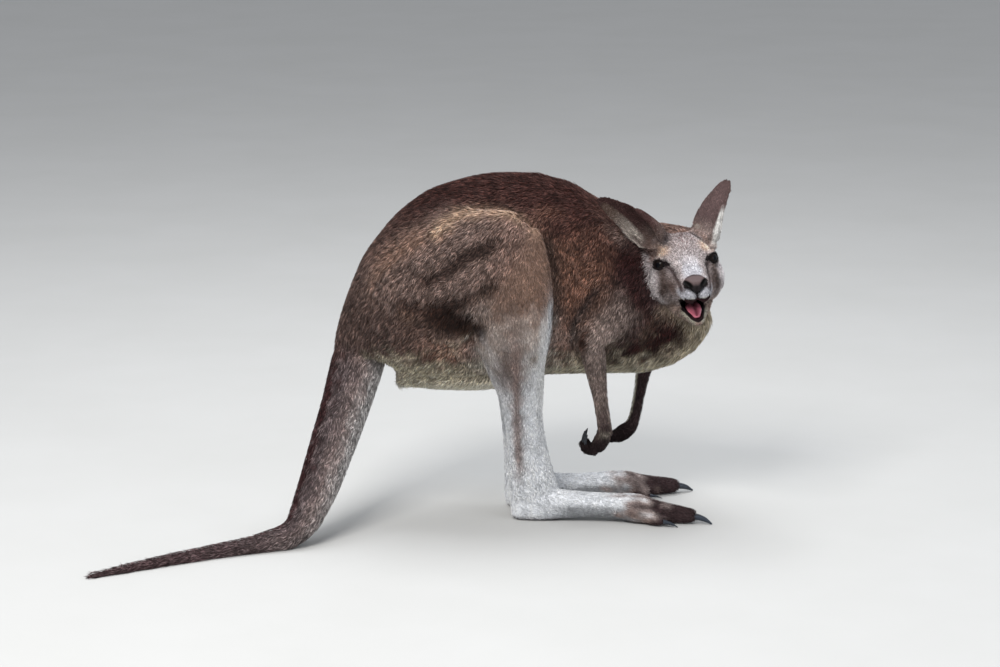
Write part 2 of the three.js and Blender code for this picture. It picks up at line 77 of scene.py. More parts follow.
# The lower jaw: how far it is open, and its joint in the head's axes.
GAPE = math.radians(14.0)
JAW_JOINT = np.array((-0.035, 0.0, -0.030))

FLESH = ["head", "lower_jaw", "neck", "trunk", "pouch", "tail_base", "tail_middle", "tail_tip"]
FLESH += [f"{part}_{side}" for side in SIDES for part in
          ("ear", "thigh", "shank", "foot", "toes", "upper_arm", "forearm", "hand")]

# Each region of the coat: the nodes that it covers, the tufts' length, the depth of the coat and
# the distance between tufts, in millimetres, and the way that the coat lies, where it is one way.
REGIONS = {
    "head": (("head", "lower_jaw", "nose"), 7.5, 2.2, 1.5, None),
    "neck": (("neck",), 16.0, 4.8, 2.4, (-0.62, 0.0, -0.78)),
    "trunk": (("trunk",), 16.0, 5.0, 2.35, None),
    "pouch": (("pouch",), 19.0, 5.0, 2.7, (-0.45, 0.0, -0.75)),
    "thigh_right": (("thigh_right",), 14.0, 4.6, 2.2, (-0.55, 0.0, -0.82)),
    "thigh_left": (("thigh_left",), 14.0, 4.6, 2.4, (-0.55, 0.0, -0.82)),
    "shank_right": (("shank_right",), 10.0, 3.0, 2.1, (0.05, 0.0, -1.0)),
    "shank_left": (("shank_left",), 10.0, 3.0, 2.3, (0.05, 0.0, -1.0)),
    "foot_right": (("foot_right", "toes_right"), 7.0, 1.8, 1.8, (1.0, -0.2, -0.25)),
    "foot_left": (("foot_left", "toes_left"), 7.0, 1.8, 1.9, (1.0, 0.2, -0.25)),
    "upper_arm_right": (("upper_arm_right",), 11.0, 3.2, 2.1, (-0.55, -0.2, -0.8)),
    "upper_arm_left": (("upper_arm_left",), 11.0, 3.2, 2.3, (0.2, 0.2, -0.9)),
    "forearm_right": (("forearm_right",), 8.5, 2.2, 1.75, (0.17, 0.1, -0.97)),
    "forearm_left": (("forearm_left",), 8.5, 2.2, 1.9, (-0.21, -0.24, -0.95)),
    "hand_right": (("hand_right",), 4.5, 1.1, 1.35, (-0.35, -0.1, -0.9)),
    "hand_left": (("hand_left",), 4.5, 1.1, 1.45, (-0.6, -0.2, -0.7)),
    "ear_right": (("ear_right",), 4.0, 0.6, 1.35, (-0.83, -0.29, 0.53)),
    "ear_left": (("ear_left",), 4.0, 0.6, 1.35, (0.48, 0.52, 0.68)),
    "tail": (("tail_base", "tail_middle", "tail_tip"), 13.0, 3.8, 2.25, None),
}
NAMES = list(REGIONS)
LENGTH, DEPTH, SPACING, LIE = 1, 2, 3, 4  # where those four stand in each row

# The line of the tail's bones, from the root to the tip.
TAIL_LINE = np.array((
    (-0.0833, 0.0870, 0.316), (-0.0993, 0.0710, 0.272), (-0.1203, 0.0270, 0.212),
    (-0.1463, -0.0190, 0.148), (-0.1693, -0.0570, 0.092), (-0.1923, -0.0850, 0.046),
    (-0.2263, -0.1070, 0.0205), (-0.2763, -0.1260, 0.014), (-0.3403, -0.1510, 0.0112),
    (-0.4103, -0.1850, 0.0092), (-0.4803, -0.2230, 0.007), (-0.5403, -0.2550, 0.0046),
))

# Lines on the coat, as pairs of forward and up: the creases behind the upper arm and in front of
# the haunch, painted dark as shade, the paler locks on the back of the haunch, and its upper edge
# over the knee, where buff hair tips carry a painted highlight.
ARM_CREASE_SHADE = ((0.305, 0.420), (0.285, 0.395), (0.268, 0.365), (0.266, 0.335))
KNEE_CREASE_SHADE = ((0.221, 0.500), (0.232, 0.465), (0.235, 0.42), (0.232, 0.375))
BUFF_LOCKS = ((0.045, 0.515), (0.000, 0.505), (-0.045, 0.470), (-0.058, 0.430), (-0.040, 0.395),
              (-0.015, 0.385))
KNEE_RIM = ((0.035, 0.520), (0.077, 0.548), (0.121, 0.556), (0.164, 0.552), (0.185, 0.538),
            (0.206, 0.515), (0.219, 0.487), (0.224, 0.455))
# Lines on the haunch where the skin is folded: the line, how much darker painted shade makes the coat
# in it, how wide it is and how deep.
HAUNCH_FOLDS = (
    (((0.018, 0.446), (0.040, 0.454), (0.071, 0.477), (0.104, 0.497), (0.128, 0.506)),
     0.80, 0.010, 0.0045),
    (((-0.020, 0.404), (0.016, 0.392), (0.052, 0.402), (0.079, 0.414), (0.123, 0.434)),
     0.80, 0.011, 0.0050),
    (((0.040, 0.385), (0.071, 0.374), (0.095, 0.360)), 1.00, 0.022, 0.0045),
    (((-0.075, 0.385), (-0.045, 0.372), (0.000, 0.362)), 0.55, 0.016, 0.0025),
)
# Where the pouch hangs lowest behind, how far that reaches, and how much lower than its flesh it is.
POUCH_END, POUCH_REACH, POUCH_DROP = -0.024, 0.022, 0.016

# Each ear: its root, the way to its tip, and the way that its hollow faces.
EARS = {
    "right": ((0.4137, 0.0220, 0.500), (-0.83, -0.29, 0.53), (0.10, -0.70, -0.70)),
    "left": ((0.4817, 0.0350, 0.489), (0.48, 0.52, 0.68), (0.62, 0.78, -0.10)),
}
EAR_LENGTH = 0.125
EAR_WIDTH = 0.056
EAR_WIDER = 0.08  # how much wider than its flesh the right ear is
EAR_LONGER = {"right": 0.009, "left": 0.003}  # how far the tips reach past the flesh
EAR_TIP = 0.0140  # how much of the ear its rounded tip takes
EAR_ROLL = 0.0035  # how high the right ear's rolled front edge stands
# The left ear's outline in millimetres: how far along, and how far out its outer and inner edges are.
EAR_OUTLINE = ((0, 27.5, 29.0), (16, 26.0, 31.5), (31, 24.0, 33.2), (46, 22.4, 33.0), (60, 20.8, 32.0),
               (77, 19.2, 28.0), (92, 17.4, 23.2), (105, 15.2, 19.2), (117, 12.6, 15.0), (131, 10.0, 11.0))
# The swellings that join the ears to the head, in the head's axes in millimetres: where, how big.
EAR_ROOTS = ((-24, -38, 29, 14), (-30, -24, 37, 12), (-42, 38, 26, 15), (-42, 51, 13, 11.5),
             (-44, 23, 37, 12))

# How far the flesh swells before it is wrapped, so that its pieces join: thin pieces, and the rest.
THIN_SWELL = 0.0013
FLESH_SWELL = 0.0005
# How much of that swelling the ears keep, and how much less than the coat's depth the hands are sunk.
EAR_KEPT = 0.0009
HAND_RAISED = 0.0022
# How often the skin is evened: all of it, the body, the runs between its parts, and the face.
EVEN_ALL, EVEN_BODY, EVEN_RUNS, EVEN_FACE = 2, 7, 110, 3
# How often the swells of the body are rounded, and the long swell of the back.
ROUND_SWELLS, ROUND_BACK = 26, 60
FACE_MARGIN = 0.004  # how far inside the face its finer mesh starts

# Swellings and hollows of the head, in millimetres and in its own axes, alike on both sides: where,
# how far they reach forward, sideways and up, and how high they stand.
SWELLINGS = (
    ((4, 44, 15), (17, 10, 7), 3.0),
    ((-6, 57, -38), (26, 16, 20), 2.5),
    ((14, 46, -26), (20, 12, 8), 1.6),
    ((44, 29, -12), (16, 7, 7), -2.4),
    ((66, 27, -24), (16, 7, 7), -1.8),
    ((90, 25, -34), (8, 8, 8), -1.4),
    ((105, 15, -53), (10, 8.5, 7.5), 2.6),
    ((112, 0, -56), (7, 2.2, 9), -2.6),
    ((84, 0, -95), (10, 9, 6), 1.2),
)

# The way the eyes look, as forward, outward and up; how far the eyeballs sit in, and how far the
# front of each stands out of its ball.
GAZE = (0.72, 0.69, 0.08)
EYE_SUNK, EYE_BULGE = 0.0015, 0.0010
# In degrees from where the eye looks: the edge of the iris, and of the lids' opening towards the
# inner corner, the outer one, up and down.
IRIS_REACH = 48
OPEN_INNER, OPEN_OUTER, OPEN_UP, OPEN_DOWN = 62.0, 42.0, 30.0, 23.0
# The lid's rings: degrees past the opening, and height over the eyeball in millimetres; and the
# number of points on each.
LID_RINGS = ((-2, -1.0), (-1, 0.4), (1, 1.5), (5, 2.3), (10, 2.2), (14, 0.6), (10, -2.0), (2, -2.5))
LID_POINTS = 56
# Lines on the head in its own axes, in millimetres forward and up: the black patch round the eye,
# drawn out to its inner corner and darkened along its flat top by the painted shadow of the brow, and
# the dark line from that corner to the side of the nose.
EYE_PATCH = ((-14, 6.5), (3, -11), (17, -11), (37, -6), (14, 3.5))
TEAR_LINE = ((24, -8), (50, -16), (80, -27), (103, -37), (110, -44))
# The dark line down the cheek under the eye, in millimetres outward and up.
CHEEK_LINE = ((43, -8), (42, -22), (43, -36), (46, -50))

# The mesh sizes of the nose and the tongue.
NOSE_WRAP, TONGUE_WRAP = 0.0009, 0.0012
# A nostril: how far out it is in millimetres, and how far up as a share of the nose's height; how
# long and wide it is in millimetres, and how deep in metres; and the nose's height in millimetres.
NOSTRIL_OUT, NOSTRIL_UP = 14.0, 0.52
NOSTRIL_LONG, NOSTRIL_WIDE, NOSTRIL_DEEP = 8.0, 4.8, 0.0080
NOSE_TALL = 31

# Tones of the bare parts and the ears, which no setting changes.
LIP_TONE = (0.008, 0.005, 0.006)
# Inside the mouth the lining is painted near black as shade, and darker still towards the throat.
MOUTH_LINING_AND_SHADE, THROAT_SHADE = (0.020, 0.009, 0.010), (0.004, 0.003, 0.003)
LID_TONE = (0.006, 0.004, 0.004)
LEATHER_TONE, LEATHER_TOP = (0.076, 0.052, 0.052), (0.030, 0.021, 0.022)
LEATHER_STEM = (0.010, 0.007, 0.008)
# Painted shade inside the nostrils.
NOSTRIL_SHADE = (0.0015, 0.001, 0.001)
# The right ear's tones are painted darker than the left ear's, as shade.
EAR_TONES = {"right": (0.058, 0.030, 0.028), "left": (0.085, 0.054, 0.052)}
EAR_ROOT_TONES = {"right": (0.12, 0.085, 0.075), "left": (0.20, 0.155, 0.14)}
EAR_EDGE_TONES = {"right": (0.24, 0.21, 0.19), "left": (0.62, 0.60, 0.57)}
EAR_INNER_TIP, EAR_INNER_ROOT = (0.10, 0.068, 0.055), (0.30, 0.265, 0.235)

# A tuft is a spindle: its root, the left and right edge and the ridge of its belly, and its tip.
TUFT_FACES = np.array(((0, 3, 1), (0, 2, 3), (0, 1, 2), (4, 1, 3), (4, 3, 2), (4, 2, 1)))
# For those five points: how light they are, how much greyer than the coat's colour, where they lie
# across the tuft, and where in the tuft's patch of the flat pattern. The darker root is the hair's dark
# base with painted shade deep in the coat; the belly's edges are painted darker than its ridge as shade;
# root and belly are richer in colour as painted shade, and the tip is greyer, as a pale hair tip with a
# painted highlight.
TUFT_SHADES = (0.42, 0.86, 0.86, 1.0, 1.0)
TUFT_GREYER = np.array((-0.10, -0.10, -0.10, -0.10, 0.34))
TUFT_ACROSS = np.array((0.5, 0.0, 1.0, 0.5, 0.5))
TUFT_PATCH = np.array(((0.5, 0.0), (0.0, 0.5), (1.0, 0.5), (0.5, 0.55), (0.5, 1.0)))
PATCH = 0.003  # the side of such a patch, and the gap between stretches of the pattern
ROOT_DEPTH = 0.0010  # how far below the skin a tuft starts
FULL_LENGTH = 0.017  # the length of a tuft that has the full width
MOST_TUFTS = 33000  # in one piece
FIRST_SEED = 100

# Each coat piece: its regions, the side of the middle line that it covers, or 0 for both, its slot.
COAT_PIECES = {
    "coat_head": (("head",), 0, "coat_grey"),
    "coat_ears": (("ear_right", "ear_left"), 0, "coat_mid"),
    "coat_neck": (("neck",), 0, "coat_mid"),
    "coat_trunk_right": (("trunk",), -1, "coat_dark"),
    "coat_trunk_left": (("trunk",), 1, "coat_dark"),
    "coat_pouch": (("pouch",), 0, "coat_pale"),
    "coat_thigh_right": (("thigh_right",), 0, "coat_mid"),
    "coat_thigh_left": (("thigh_left",), 0, "coat_mid"),
    "coat_shank_right": (("shank_right",), 0, "coat_grey"),
    "coat_shank_left": (("shank_left",), 0, "coat_grey"),
    "coat_foot_right": (("foot_right",), 0, "coat_pale"),
    "coat_foot_left": (("foot_left",), 0, "coat_pale"),
    "coat_arm_right": (("upper_arm_right", "forearm_right", "hand_right"), 0, "coat_grey"),
    "coat_arm_left": (("upper_arm_left", "forearm_left", "hand_left"), 0, "coat_grey"),
    "coat_tail": (("tail",), 0, "coat_mid"),
}

# How far the toes' claws reach back into the toes, and how much wider they are than their nodes.
CLAW_ROOT, CLAW_WIDER = 0.008, 0.3

# The stage: the side of the floor, what the lamps point at, and the lamps: place, power, size, tone.
FLOOR_SIZE = 24
LAMPS_AIM = (0.0, 0.0, 0.3)
LAMPS = {
    "key": ((-1.4, -2.8, 3.4), 190.0, 1.6, (1.0, 0.98, 0.95)),
    "fill": ((2.8, -2.4, 1.4), 30.0, 2.2, (0.93, 0.96, 1.0)),
    "top": ((0.2, 0.6, 3.4), 90.0, 2.0, (0.96, 0.98, 1.0)),
}
SKY_TONE, SKY_POWER = (0.92, 0.95, 1.0, 1), 0.62


# ---------------------------------------------------------------- arrays and places

def rows_of(mesh):
    """The vertices of a mesh as an array."""
    co = np.empty(len(mesh.vertices) * 3)
    mesh.vertices.foreach_get("co", co)
    return co.reshape(-1, 3)


def put_rows(mesh, co):
    """Puts an array of places into a mesh."""
    mesh.vertices.foreach_set("co", np.ascontiguousarray(co, np.float32).ravel())
    mesh.update()


def triangles_of(mesh):
    """The corners of a mesh's triangles as an array."""
    mesh.calc_loop_triangles()
    tris = np.empty(len(mesh.loop_triangles) * 3, np.int32)
    mesh.loop_triangles.foreach_get("vertices", tris)
    return tris.reshape(-1, 3)


def normals_of(mesh):
    """The vertex normals of a mesh as an array."""
    out = np.empty(len(mesh.vertices) * 3, np.float32)
    mesh.vertex_normals.foreach_get("vector", out)
    return out.reshape(-1, 3).astype(float)


def unit(v):
    """Vectors at length one."""
    return v / np.maximum(np.linalg.norm(v, axis=-1, keepdims=True), 1e-9)


def flattened(ways, normals):
    """Directions turned to run along the skin, at length one."""
    return unit(ways - (ways * normals).sum(1, keepdims=True) * normals)


def step(low, high, x):
    """A smooth rise from 0 at low to 1 at high."""
    t = np.clip((x - low) / (high - low), 0, 1)
    return t * t * (3 - 2 * t)


def near(x, middle, reach):
    """A smooth bump, 1 at the middle."""
    return np.exp(-(((x - middle) / reach) ** 2))


def mix(a, b, t):
    """From colours a to b as t goes from 0 to 1."""
    return a + (np.asarray(b, float) - a) * np.asarray(t)[..., None]


def laid(base, *layers):
    """The base colour with layers laid over it: the colour of each, and how much of it there is."""
    for colour, amount in layers:
        base = mix(base, colour, amount)
    return base


def in_head(points):
    """Places in the head's own axes: forward, left and up from the skull's middle."""
    return (points - HEAD_AT) @ HEAD


def from_head(points):
    """Places in the frame from the head's own axes."""
    return points @ HEAD.T + HEAD_AT


def in_jaw(local):
    """Places in the lower jaw's axes, closed, from the head's axes."""
    c, s = math.cos(-GAPE), math.sin(-GAPE)
    x, y, z = (local - JAW_JOINT).T
    return np.stack([c * x + s * z, y, -s * x + c * z], 1) + JAW_JOINT


def hills(points, size, seed):
    """Smooth noise from about -1 to 1 at these places, with hills of that size."""
    rng = np.random.default_rng(seed)
    total = np.zeros(len(points))
    for _ in range(7):
        wave = rng.normal(size=3)
        wave *= rng.uniform(0.6, 1.5) * 2 * math.pi / size / np.linalg.norm(wave)
        total += np.sin(points @ wave + rng.uniform(0, 2 * math.pi))
    return total / 2.6


def off_line(flat, line):
    """How far each flat place is from a line of flat points."""
    line = np.array(line)
    best = np.full(len(flat), 1e9)
    for start, end in zip(line[:-1], line[1:]):
        span = end - start
        t = np.clip(((flat - start) @ span) / (span @ span), 0, 1)
        best = np.minimum(best, np.linalg.norm(flat - start - t[:, None] * span, axis=1))
    return best


def within(flat, corners):
    """How far each flat place is inside a shape, from its corners counterclockwise."""
    depth = np.full(len(flat), 1e9)
    for start, end in zip(corners, corners[1:] + corners[:1]):
        span = unit(np.subtract(end, start).astype(float))
        depth = np.minimum(depth, (flat - start) @ (-span[1], span[0]))
    return depth


def eyeball(side):
    """The middle of that eye's ball in the frame, and its radius."""
    low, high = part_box(f"eye_{side}")
    return (low + high) / 2, (high.x - low.x) / 2


class Weave:
    """The neighbours of each vertex of a mesh, for evening out what the vertices carry."""

    def __init__(self, mesh):
        edges = np.empty(len(mesh.edges) * 2, np.int64)
        mesh.edges.foreach_get("vertices", edges)
        edges = edges.reshape(-1, 2)
        self.a = np.concatenate([edges[:, 0], edges[:, 1]])
        self.b = np.concatenate([edges[:, 1], edges[:, 0]])
        self.n = len(mesh.vertices)
        self.count = np.maximum(np.bincount(self.a, minlength=self.n), 1)

    def mean(self, v):
        """The mean of the neighbours' values."""
        cols = [np.bincount(self.a, weights=v[self.b, k], minlength=self.n) for k in range(v.shape[1])]
        return np.stack(cols, 1) / self.count[:, None]

    def even(self, v, times, amount=0.5):
        """Values drawn towards their neighbours' mean; amount may differ from vertex to vertex."""
        if v.ndim == 1:
            return self.even(v[:, None], times, amount)[:, 0]
        amount = np.asarray(amount, float)
        if amount.ndim:
            amount = amount[:, None]
        for _ in range(times):
            v = v + amount * (self.mean(v) - v)
        return v


# ---------------------------------------------------------------- settings

class CoatSettings(bpy.types.PropertyGroup):
    """Sizes of the skin and the coat."""

    voxel: bpy.props.FloatProperty(
        name="Wrap", description="Mesh size of the first wrap of the flesh", default=0.0020,
        min=0.001, max=0.01, unit="LENGTH")
    thinned: bpy.props.FloatProperty(
        name="Thinned", description="Share of the wrap's faces kept on the body", default=0.15,
        min=0.05, max=1.0, subtype="FACTOR")
    crowding: bpy.props.FloatProperty(
        name="Crowding", description="Tufts for each place where one is due", default=1.0,
        min=0.1, max=2.0, subtype="FACTOR")
    tuft_width: bpy.props.FloatProperty(
        name="Tuft width", description="Width of a body tuft at its middle", default=0.0016,
        min=0.0005, max=0.01, unit="LENGTH")
    unrest: bpy.props.FloatProperty(
        name="Unrest", description="How far neighbouring tufts turn from each other", default=0.22,
        min=0.0, max=1.5, subtype="ANGLE")


def tone(name, description, default):
    """A colour that a user may change."""
    return bpy.props.FloatVectorProperty(
        name=name, description=description, default=default, subtype="COLOR", min=0, max=1)


class ColourSettings(bpy.types.PropertyGroup):
    """Colours of the coat and of the bare parts."""

    back: tone("Back", "Dark red-brown of the back", (0.046, 0.0185, 0.0155))
    shoulder: tone("Shoulder", "Darkest brown, on the shoulders and the nape", (0.066, 0.032, 0.025))
    flank: tone("Flank", "Middle brown of the flank", (0.156, 0.077, 0.053))
    rump: tone("Rump", "Grey-brown of the rump and the thigh", (0.132, 0.085, 0.072))
    # Along the top of the knee this buff is partly hair tips and partly a painted highlight.
    rim: tone("Rim", "Buff hair along the top of the knee", (0.38, 0.255, 0.175))
    belly: tone("Belly", "Pale cream-grey of the underside", (0.50, 0.46, 0.37))
    silver: tone("Silver", "Silver white of the shanks and feet", (0.90, 0.92, 0.96))
    toe: tone("Toe", "Brown-black of toes, hands and tail tip", (0.042, 0.026, 0.027))
    face: tone("Face", "Light grey of the face", (0.40, 0.35, 0.345))
    white: tone("White", "White of the bridge of the nose and the lip", (0.54, 0.535, 0.58))
    horn: tone("Horn", "Blue-black horn of the claws", (0.012, 0.016, 0.024))
    tongue: tone("Tongue", "Pink of the tongue", (0.62, 0.17, 0.23))


class StageSettings(bpy.types.PropertyGroup):
    """The camera and the light."""

    eye: bpy.props.FloatVectorProperty(
        name="Camera", description="Place of the camera", default=(-0.2091, -5.1851, 1.5160),
        subtype="TRANSLATION", unit="LENGTH")
    lens: bpy.props.FloatProperty(
        name="Lens", description="Focal length in millimetres on a 36 mm frame", default=113.15,
        min=10, max=400)
    turn: bpy.props.FloatProperty(
        name="Turn", description="Turn of the camera towards the head", default=math.radians(3.872),
        subtype="ANGLE")
    fall: bpy.props.FloatProperty(
        name="Fall", description="How far the camera looks down", default=math.radians(12.75),
        subtype="ANGLE")


SETTINGS = {"kangaroo_coat": CoatSettings, "kangaroo_colours": ColourSettings,
            "kangaroo_stage": StageSettings}


# ---------------------------------------------------------------- making and finishing meshes

def only(obj):
    """Makes obj the one selected object, in object mode."""
    if bpy.context.object is not None and bpy.context.object.mode != "OBJECT":
        bpy.ops.object.mode_set(mode="OBJECT")
    bpy.ops.object.select_all(action="DESELECT")
    if obj is not None:
        obj.select_set(True)
        bpy.context.view_layer.objects.active = obj


def copy_of(names, new_name, swell=0.0):
    """One object from copies of these CAD nodes, each merged and swollen a little."""
    only(None)
    made = []
    for name in names:
        obj = bpy.data.objects.new(f"{new_name}_{name}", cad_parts[name].data.copy())
        bpy.context.scene.collection.objects.link(obj)
        obj.select_set(True)
        made.append(obj)
    bpy.context.view_layer.objects.active = made[0]
    bpy.ops.object.mode_set(mode="EDIT")
    bpy.ops.mesh.select_all(action="SELECT")
    bpy.ops.mesh.remove_doubles(threshold=1e-5)
    bpy.ops.mesh.normals_make_consistent(inside=False)
    if swell:
        bpy.ops.transform.shrink_fatten(value=swell)
    bpy.ops.object.mode_set(mode="OBJECT")
    if len(made) > 1:
        bpy.ops.object.join()
    obj = bpy.context.object
    obj.name = new_name
    obj.data.name = new_name
    obj.data.materials.clear()
    return obj


def remesh(obj, voxel):
    """Wraps obj in one even closed mesh."""
    only(obj)
    wrap = obj.modifiers.new("wrap", "REMESH")
    wrap.mode = "VOXEL"
    wrap.voxel_size = voxel
    bpy.ops.object.modifier_apply(modifier="wrap")

def rounded(obj, levels):
    """Rounds a mesh by dividing its faces that many times."""
    only(obj)
    rounding = obj.modifiers.new("round", "SUBSURF")
    rounding.levels = rounding.render_levels = levels
    bpy.ops.object.modifier_apply(modifier="round")


def edit_whole(obj):
    """Leaves obj in edit mode with all of it selected."""
    only(obj)
    bpy.ops.object.mode_set(mode="EDIT")
    bpy.ops.mesh.select_all(action="SELECT")


def select_vertices(obj, chosen):
    """Leaves obj in edit mode with these vertices selected."""
    only(obj)
    bpy.ops.object.mode_set(mode="EDIT")
    bpy.ops.mesh.select_mode(type="VERT")
    bpy.ops.mesh.select_all(action="DESELECT")
    bpy.ops.object.mode_set(mode="OBJECT")
    obj.data.vertices.foreach_set("select", chosen)
    bpy.ops.object.mode_set(mode="EDIT")


def mesh_object(name, co, faces):
    """A new object from places and triangles or quads, given as arrays."""
    mesh = bpy.data.meshes.new(name)
    n, k = faces.shape
    mesh.vertices.add(len(co))
    mesh.vertices.foreach_set("co", np.ascontiguousarray(co, np.float32).ravel())
    mesh.loops.add(n * k)
    mesh.loops.foreach_set("vertex_index", np.ascontiguousarray(faces, np.int32).ravel())
    mesh.polygons.add(n)
    mesh.polygons.foreach_set("loop_start", np.arange(0, n * k, k, dtype=np.int32))
    mesh.update(calc_edges=True)
    obj = bpy.data.objects.new(name, mesh)
    bpy.context.scene.collection.objects.link(obj)
    return obj


def carry(mesh, name, values):
    """Gives each vertex a colour, or a number, under that name."""
    values = np.asarray(values, float)
    if values.ndim == 1:
        layer = mesh.attributes.get(name) or mesh.attributes.new(name, "FLOAT", "POINT")
        layer.data.foreach_set("value", values.astype(np.float32))
        return
    layer = mesh.color_attributes.get(name) or mesh.color_attributes.new(name, "FLOAT_COLOR", "POINT")
    rgba = np.ones((len(values), 4), np.float32)
    rgba[:, :3] = values
    layer.data.foreach_set("color", rgba.ravel())


def read(mesh, name):
    """The numbers that the vertices carry under that name."""
    out = np.empty(len(mesh.vertices), np.float32)
    mesh.attributes[name].data.foreach_get("value", out)
    return out.astype(float)


def finish_piece(obj, mat, slot, *nodes):
    """Gives a piece its material, and lets it ride on the body, for the nodes that it replaces; the slot
    is not used."""
    obj.data.materials.append(mat)
    obj.data.shade_smooth()
    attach(obj, "root")
    if nodes:
        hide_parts(*nodes)


# ---------------------------------------------------------------- materials

def material(name, roughness, specular, sheen=0.0, coat=0.0):
    """A new material with its one Principled shader, and that shader."""
    mat = bpy.data.materials.new(name)
    mat.use_nodes = True
    shader = mat.node_tree.nodes["Principled BSDF"]
    shader.inputs["Roughness"].default_value = roughness
    shader.inputs["Specular IOR Level"].default_value = specular
    shader.inputs["Sheen Weight"].default_value = sheen
    shader.inputs["Sheen Roughness"].default_value = 0.5
    shader.inputs["Coat Weight"].default_value = coat
    shader.inputs["Coat Roughness"].default_value = 0.08
    return mat, shader


def node(mat, kind, **inputs):
    """A new node of that kind, with values on its inputs."""
    made = mat.node_tree.nodes.new(kind)
    for name, value in inputs.items():
        made.inputs[name.replace("_", " ")].default_value = value
    return made


def link(mat, source, target):
    """Joins two sockets."""
    mat.node_tree.links.new(source, target)


def grain(mat, scale, stretch=(1, 1, 1)):
    """Noise over the object's own coordinates, stretched along its axes."""
    place = node(mat, "ShaderNodeTexCoord")
    turned = node(mat, "ShaderNodeMapping", Scale=stretch)
    noise = node(mat, "ShaderNodeTexNoise", Scale=scale, Detail=3.0, Roughness=0.6)
    link(mat, place.outputs["Object"], turned.inputs["Vector"])
    link(mat, turned.outputs["Vector"], noise.inputs["Vector"])
    return noise.outputs["Fac"]


def carried(mat, name, output="Color"):
    """The colour that the vertices carry under that name, or the number, as Fac."""
    attribute = node(mat, "ShaderNodeAttribute")
    attribute.attribute_name = name
    return attribute.outputs[output]


def reckoned(mat, operation, *terms):
    """The result of that operation on numbers and sockets."""
    made = node(mat, "ShaderNodeMath")
    made.operation = operation
    for target, term in zip(made.inputs, terms):
        if isinstance(term, float):
            target.default_value = term
        else:
            link(mat, term, target)
    return made.outputs["Value"]


def tinted(mat, shader, source, shade, low, high):
    """Colour from source, darker and lighter with the shade."""
    spread = node(mat, "ShaderNodeMapRange", From_Min=0.3, From_Max=0.7, To_Min=low, To_Max=high)
    link(mat, shade, spread.inputs["Value"])
    scale = node(mat, "ShaderNodeVectorMath")
    scale.operation = "SCALE"
    link(mat, source, scale.inputs[0])
    link(mat, spread.outputs["Result"], scale.inputs["Scale"])
    link(mat, scale.outputs["Vector"], shader.inputs["Base Color"])


def ramped(mat, shader, source, *stops):
    """Colour from a ramp over the source: each stop's place and colour."""
    made = node(mat, "ShaderNodeValToRGB")
    elements = made.color_ramp.elements
    for number, (place, colour) in enumerate(stops):
        element = elements[number] if number < len(elements) else elements.new(place)
        element.position = place
        element.color = (*colour, 1)
    link(mat, source, made.inputs["Fac"])
    link(mat, made.outputs["Color"], shader.inputs["Base Color"])


def bumped(mat, shader, height, strength, distance):
    """Relief from that height."""
    bump = node(mat, "ShaderNodeBump", Strength=strength, Distance=distance)
    link(mat, height, bump.inputs["Height"])
    link(mat, bump.outputs["Normal"], shader.inputs["Normal"])


def coat_material():
    """Hair of the tufts: dull, with a faint sheen, in the colours that the tufts carry."""
    mat, shader = material("tuft hair", 0.75, 0.08, sheen=0.02)
    across = node(mat, "ShaderNodeTexNoise", Scale=5.5, Detail=1.0)
    across.noise_dimensions = "1D"
    link(mat, carried(mat, "strand", "Fac"), across.inputs["W"])
    hairs = across.outputs["Fac"]
    shade = reckoned(mat, "MULTIPLY_ADD", grain(mat, 420.0), 0.35, reckoned(mat, "MULTIPLY", hairs, 0.65))
    tinted(mat, shader, carried(mat, "marking"), shade, 0.62, 1.34)
    bumped(mat, shader, hairs, 0.35, 0.0005)
    return mat


def skin_material():
    """Short under-hair close to the skin."""
    mat, shader = material("under-hair", 0.85, 0.05)
    streaks = grain(mat, 260.0, (1.0, 1.0, 0.35))
    tinted(mat, shader, carried(mat, "marking"), streaks, 0.72, 1.2)
    bumped(mat, shader, streaks, 0.5, 0.0009)
    return mat


def wet_material(name, roughness, specular, coat, scale):
    """Moist bare skin with a fine pebbled grain."""
    mat, shader = material(name, roughness, specular, coat=coat)
    pebbles = grain(mat, scale)
    tinted(mat, shader, carried(mat, "marking"), pebbles, 0.8, 1.2)
    bumped(mat, shader, pebbles, 0.35, 0.0005)
    return mat


def eye_material():
    """Glossy near-black, a little browner between the pupil and the edge."""
    mat, shader = material("eye", 0.05, 0.09)
    ring = reckoned(mat, "MULTIPLY_ADD", grain(mat, 900.0), 0.12, carried(mat, "iris", "Fac"))
    ramped(mat, shader, ring, (0.44, (0.002, 0.002, 0.003)), (0.52, (0.008, 0.005, 0.004)),
           (0.86, (0.008, 0.005, 0.004)), (0.95, (0.006, 0.005, 0.005)))
    return mat


def horn_material(name, colour):
    """Claw horn with fine lines along it."""
    mat, shader = material(name, 0.38, 0.4, coat=0.1)
    lines = grain(mat, 300.0, (0.12, 1.0, 1.0))
    ramped(mat, shader, lines, (0.3, [c * 0.45 for c in colour]), (0.75, [c * 2.3 for c in colour]))
    bumped(mat, shader, lines, 0.25, 0.0004)
    return mat


def floor_material():
    """Pale matt paint, hardly speckled."""
    mat, shader = material("floor paint", 0.9, 0.1)
    ramped(mat, shader, grain(mat, 3.0), (0.0, (0.44, 0.44, 0.43)), (1.0, (0.48, 0.48, 0.475)))
    return mat


# ---------------------------------------------------------------- the lie and the colours of the coat

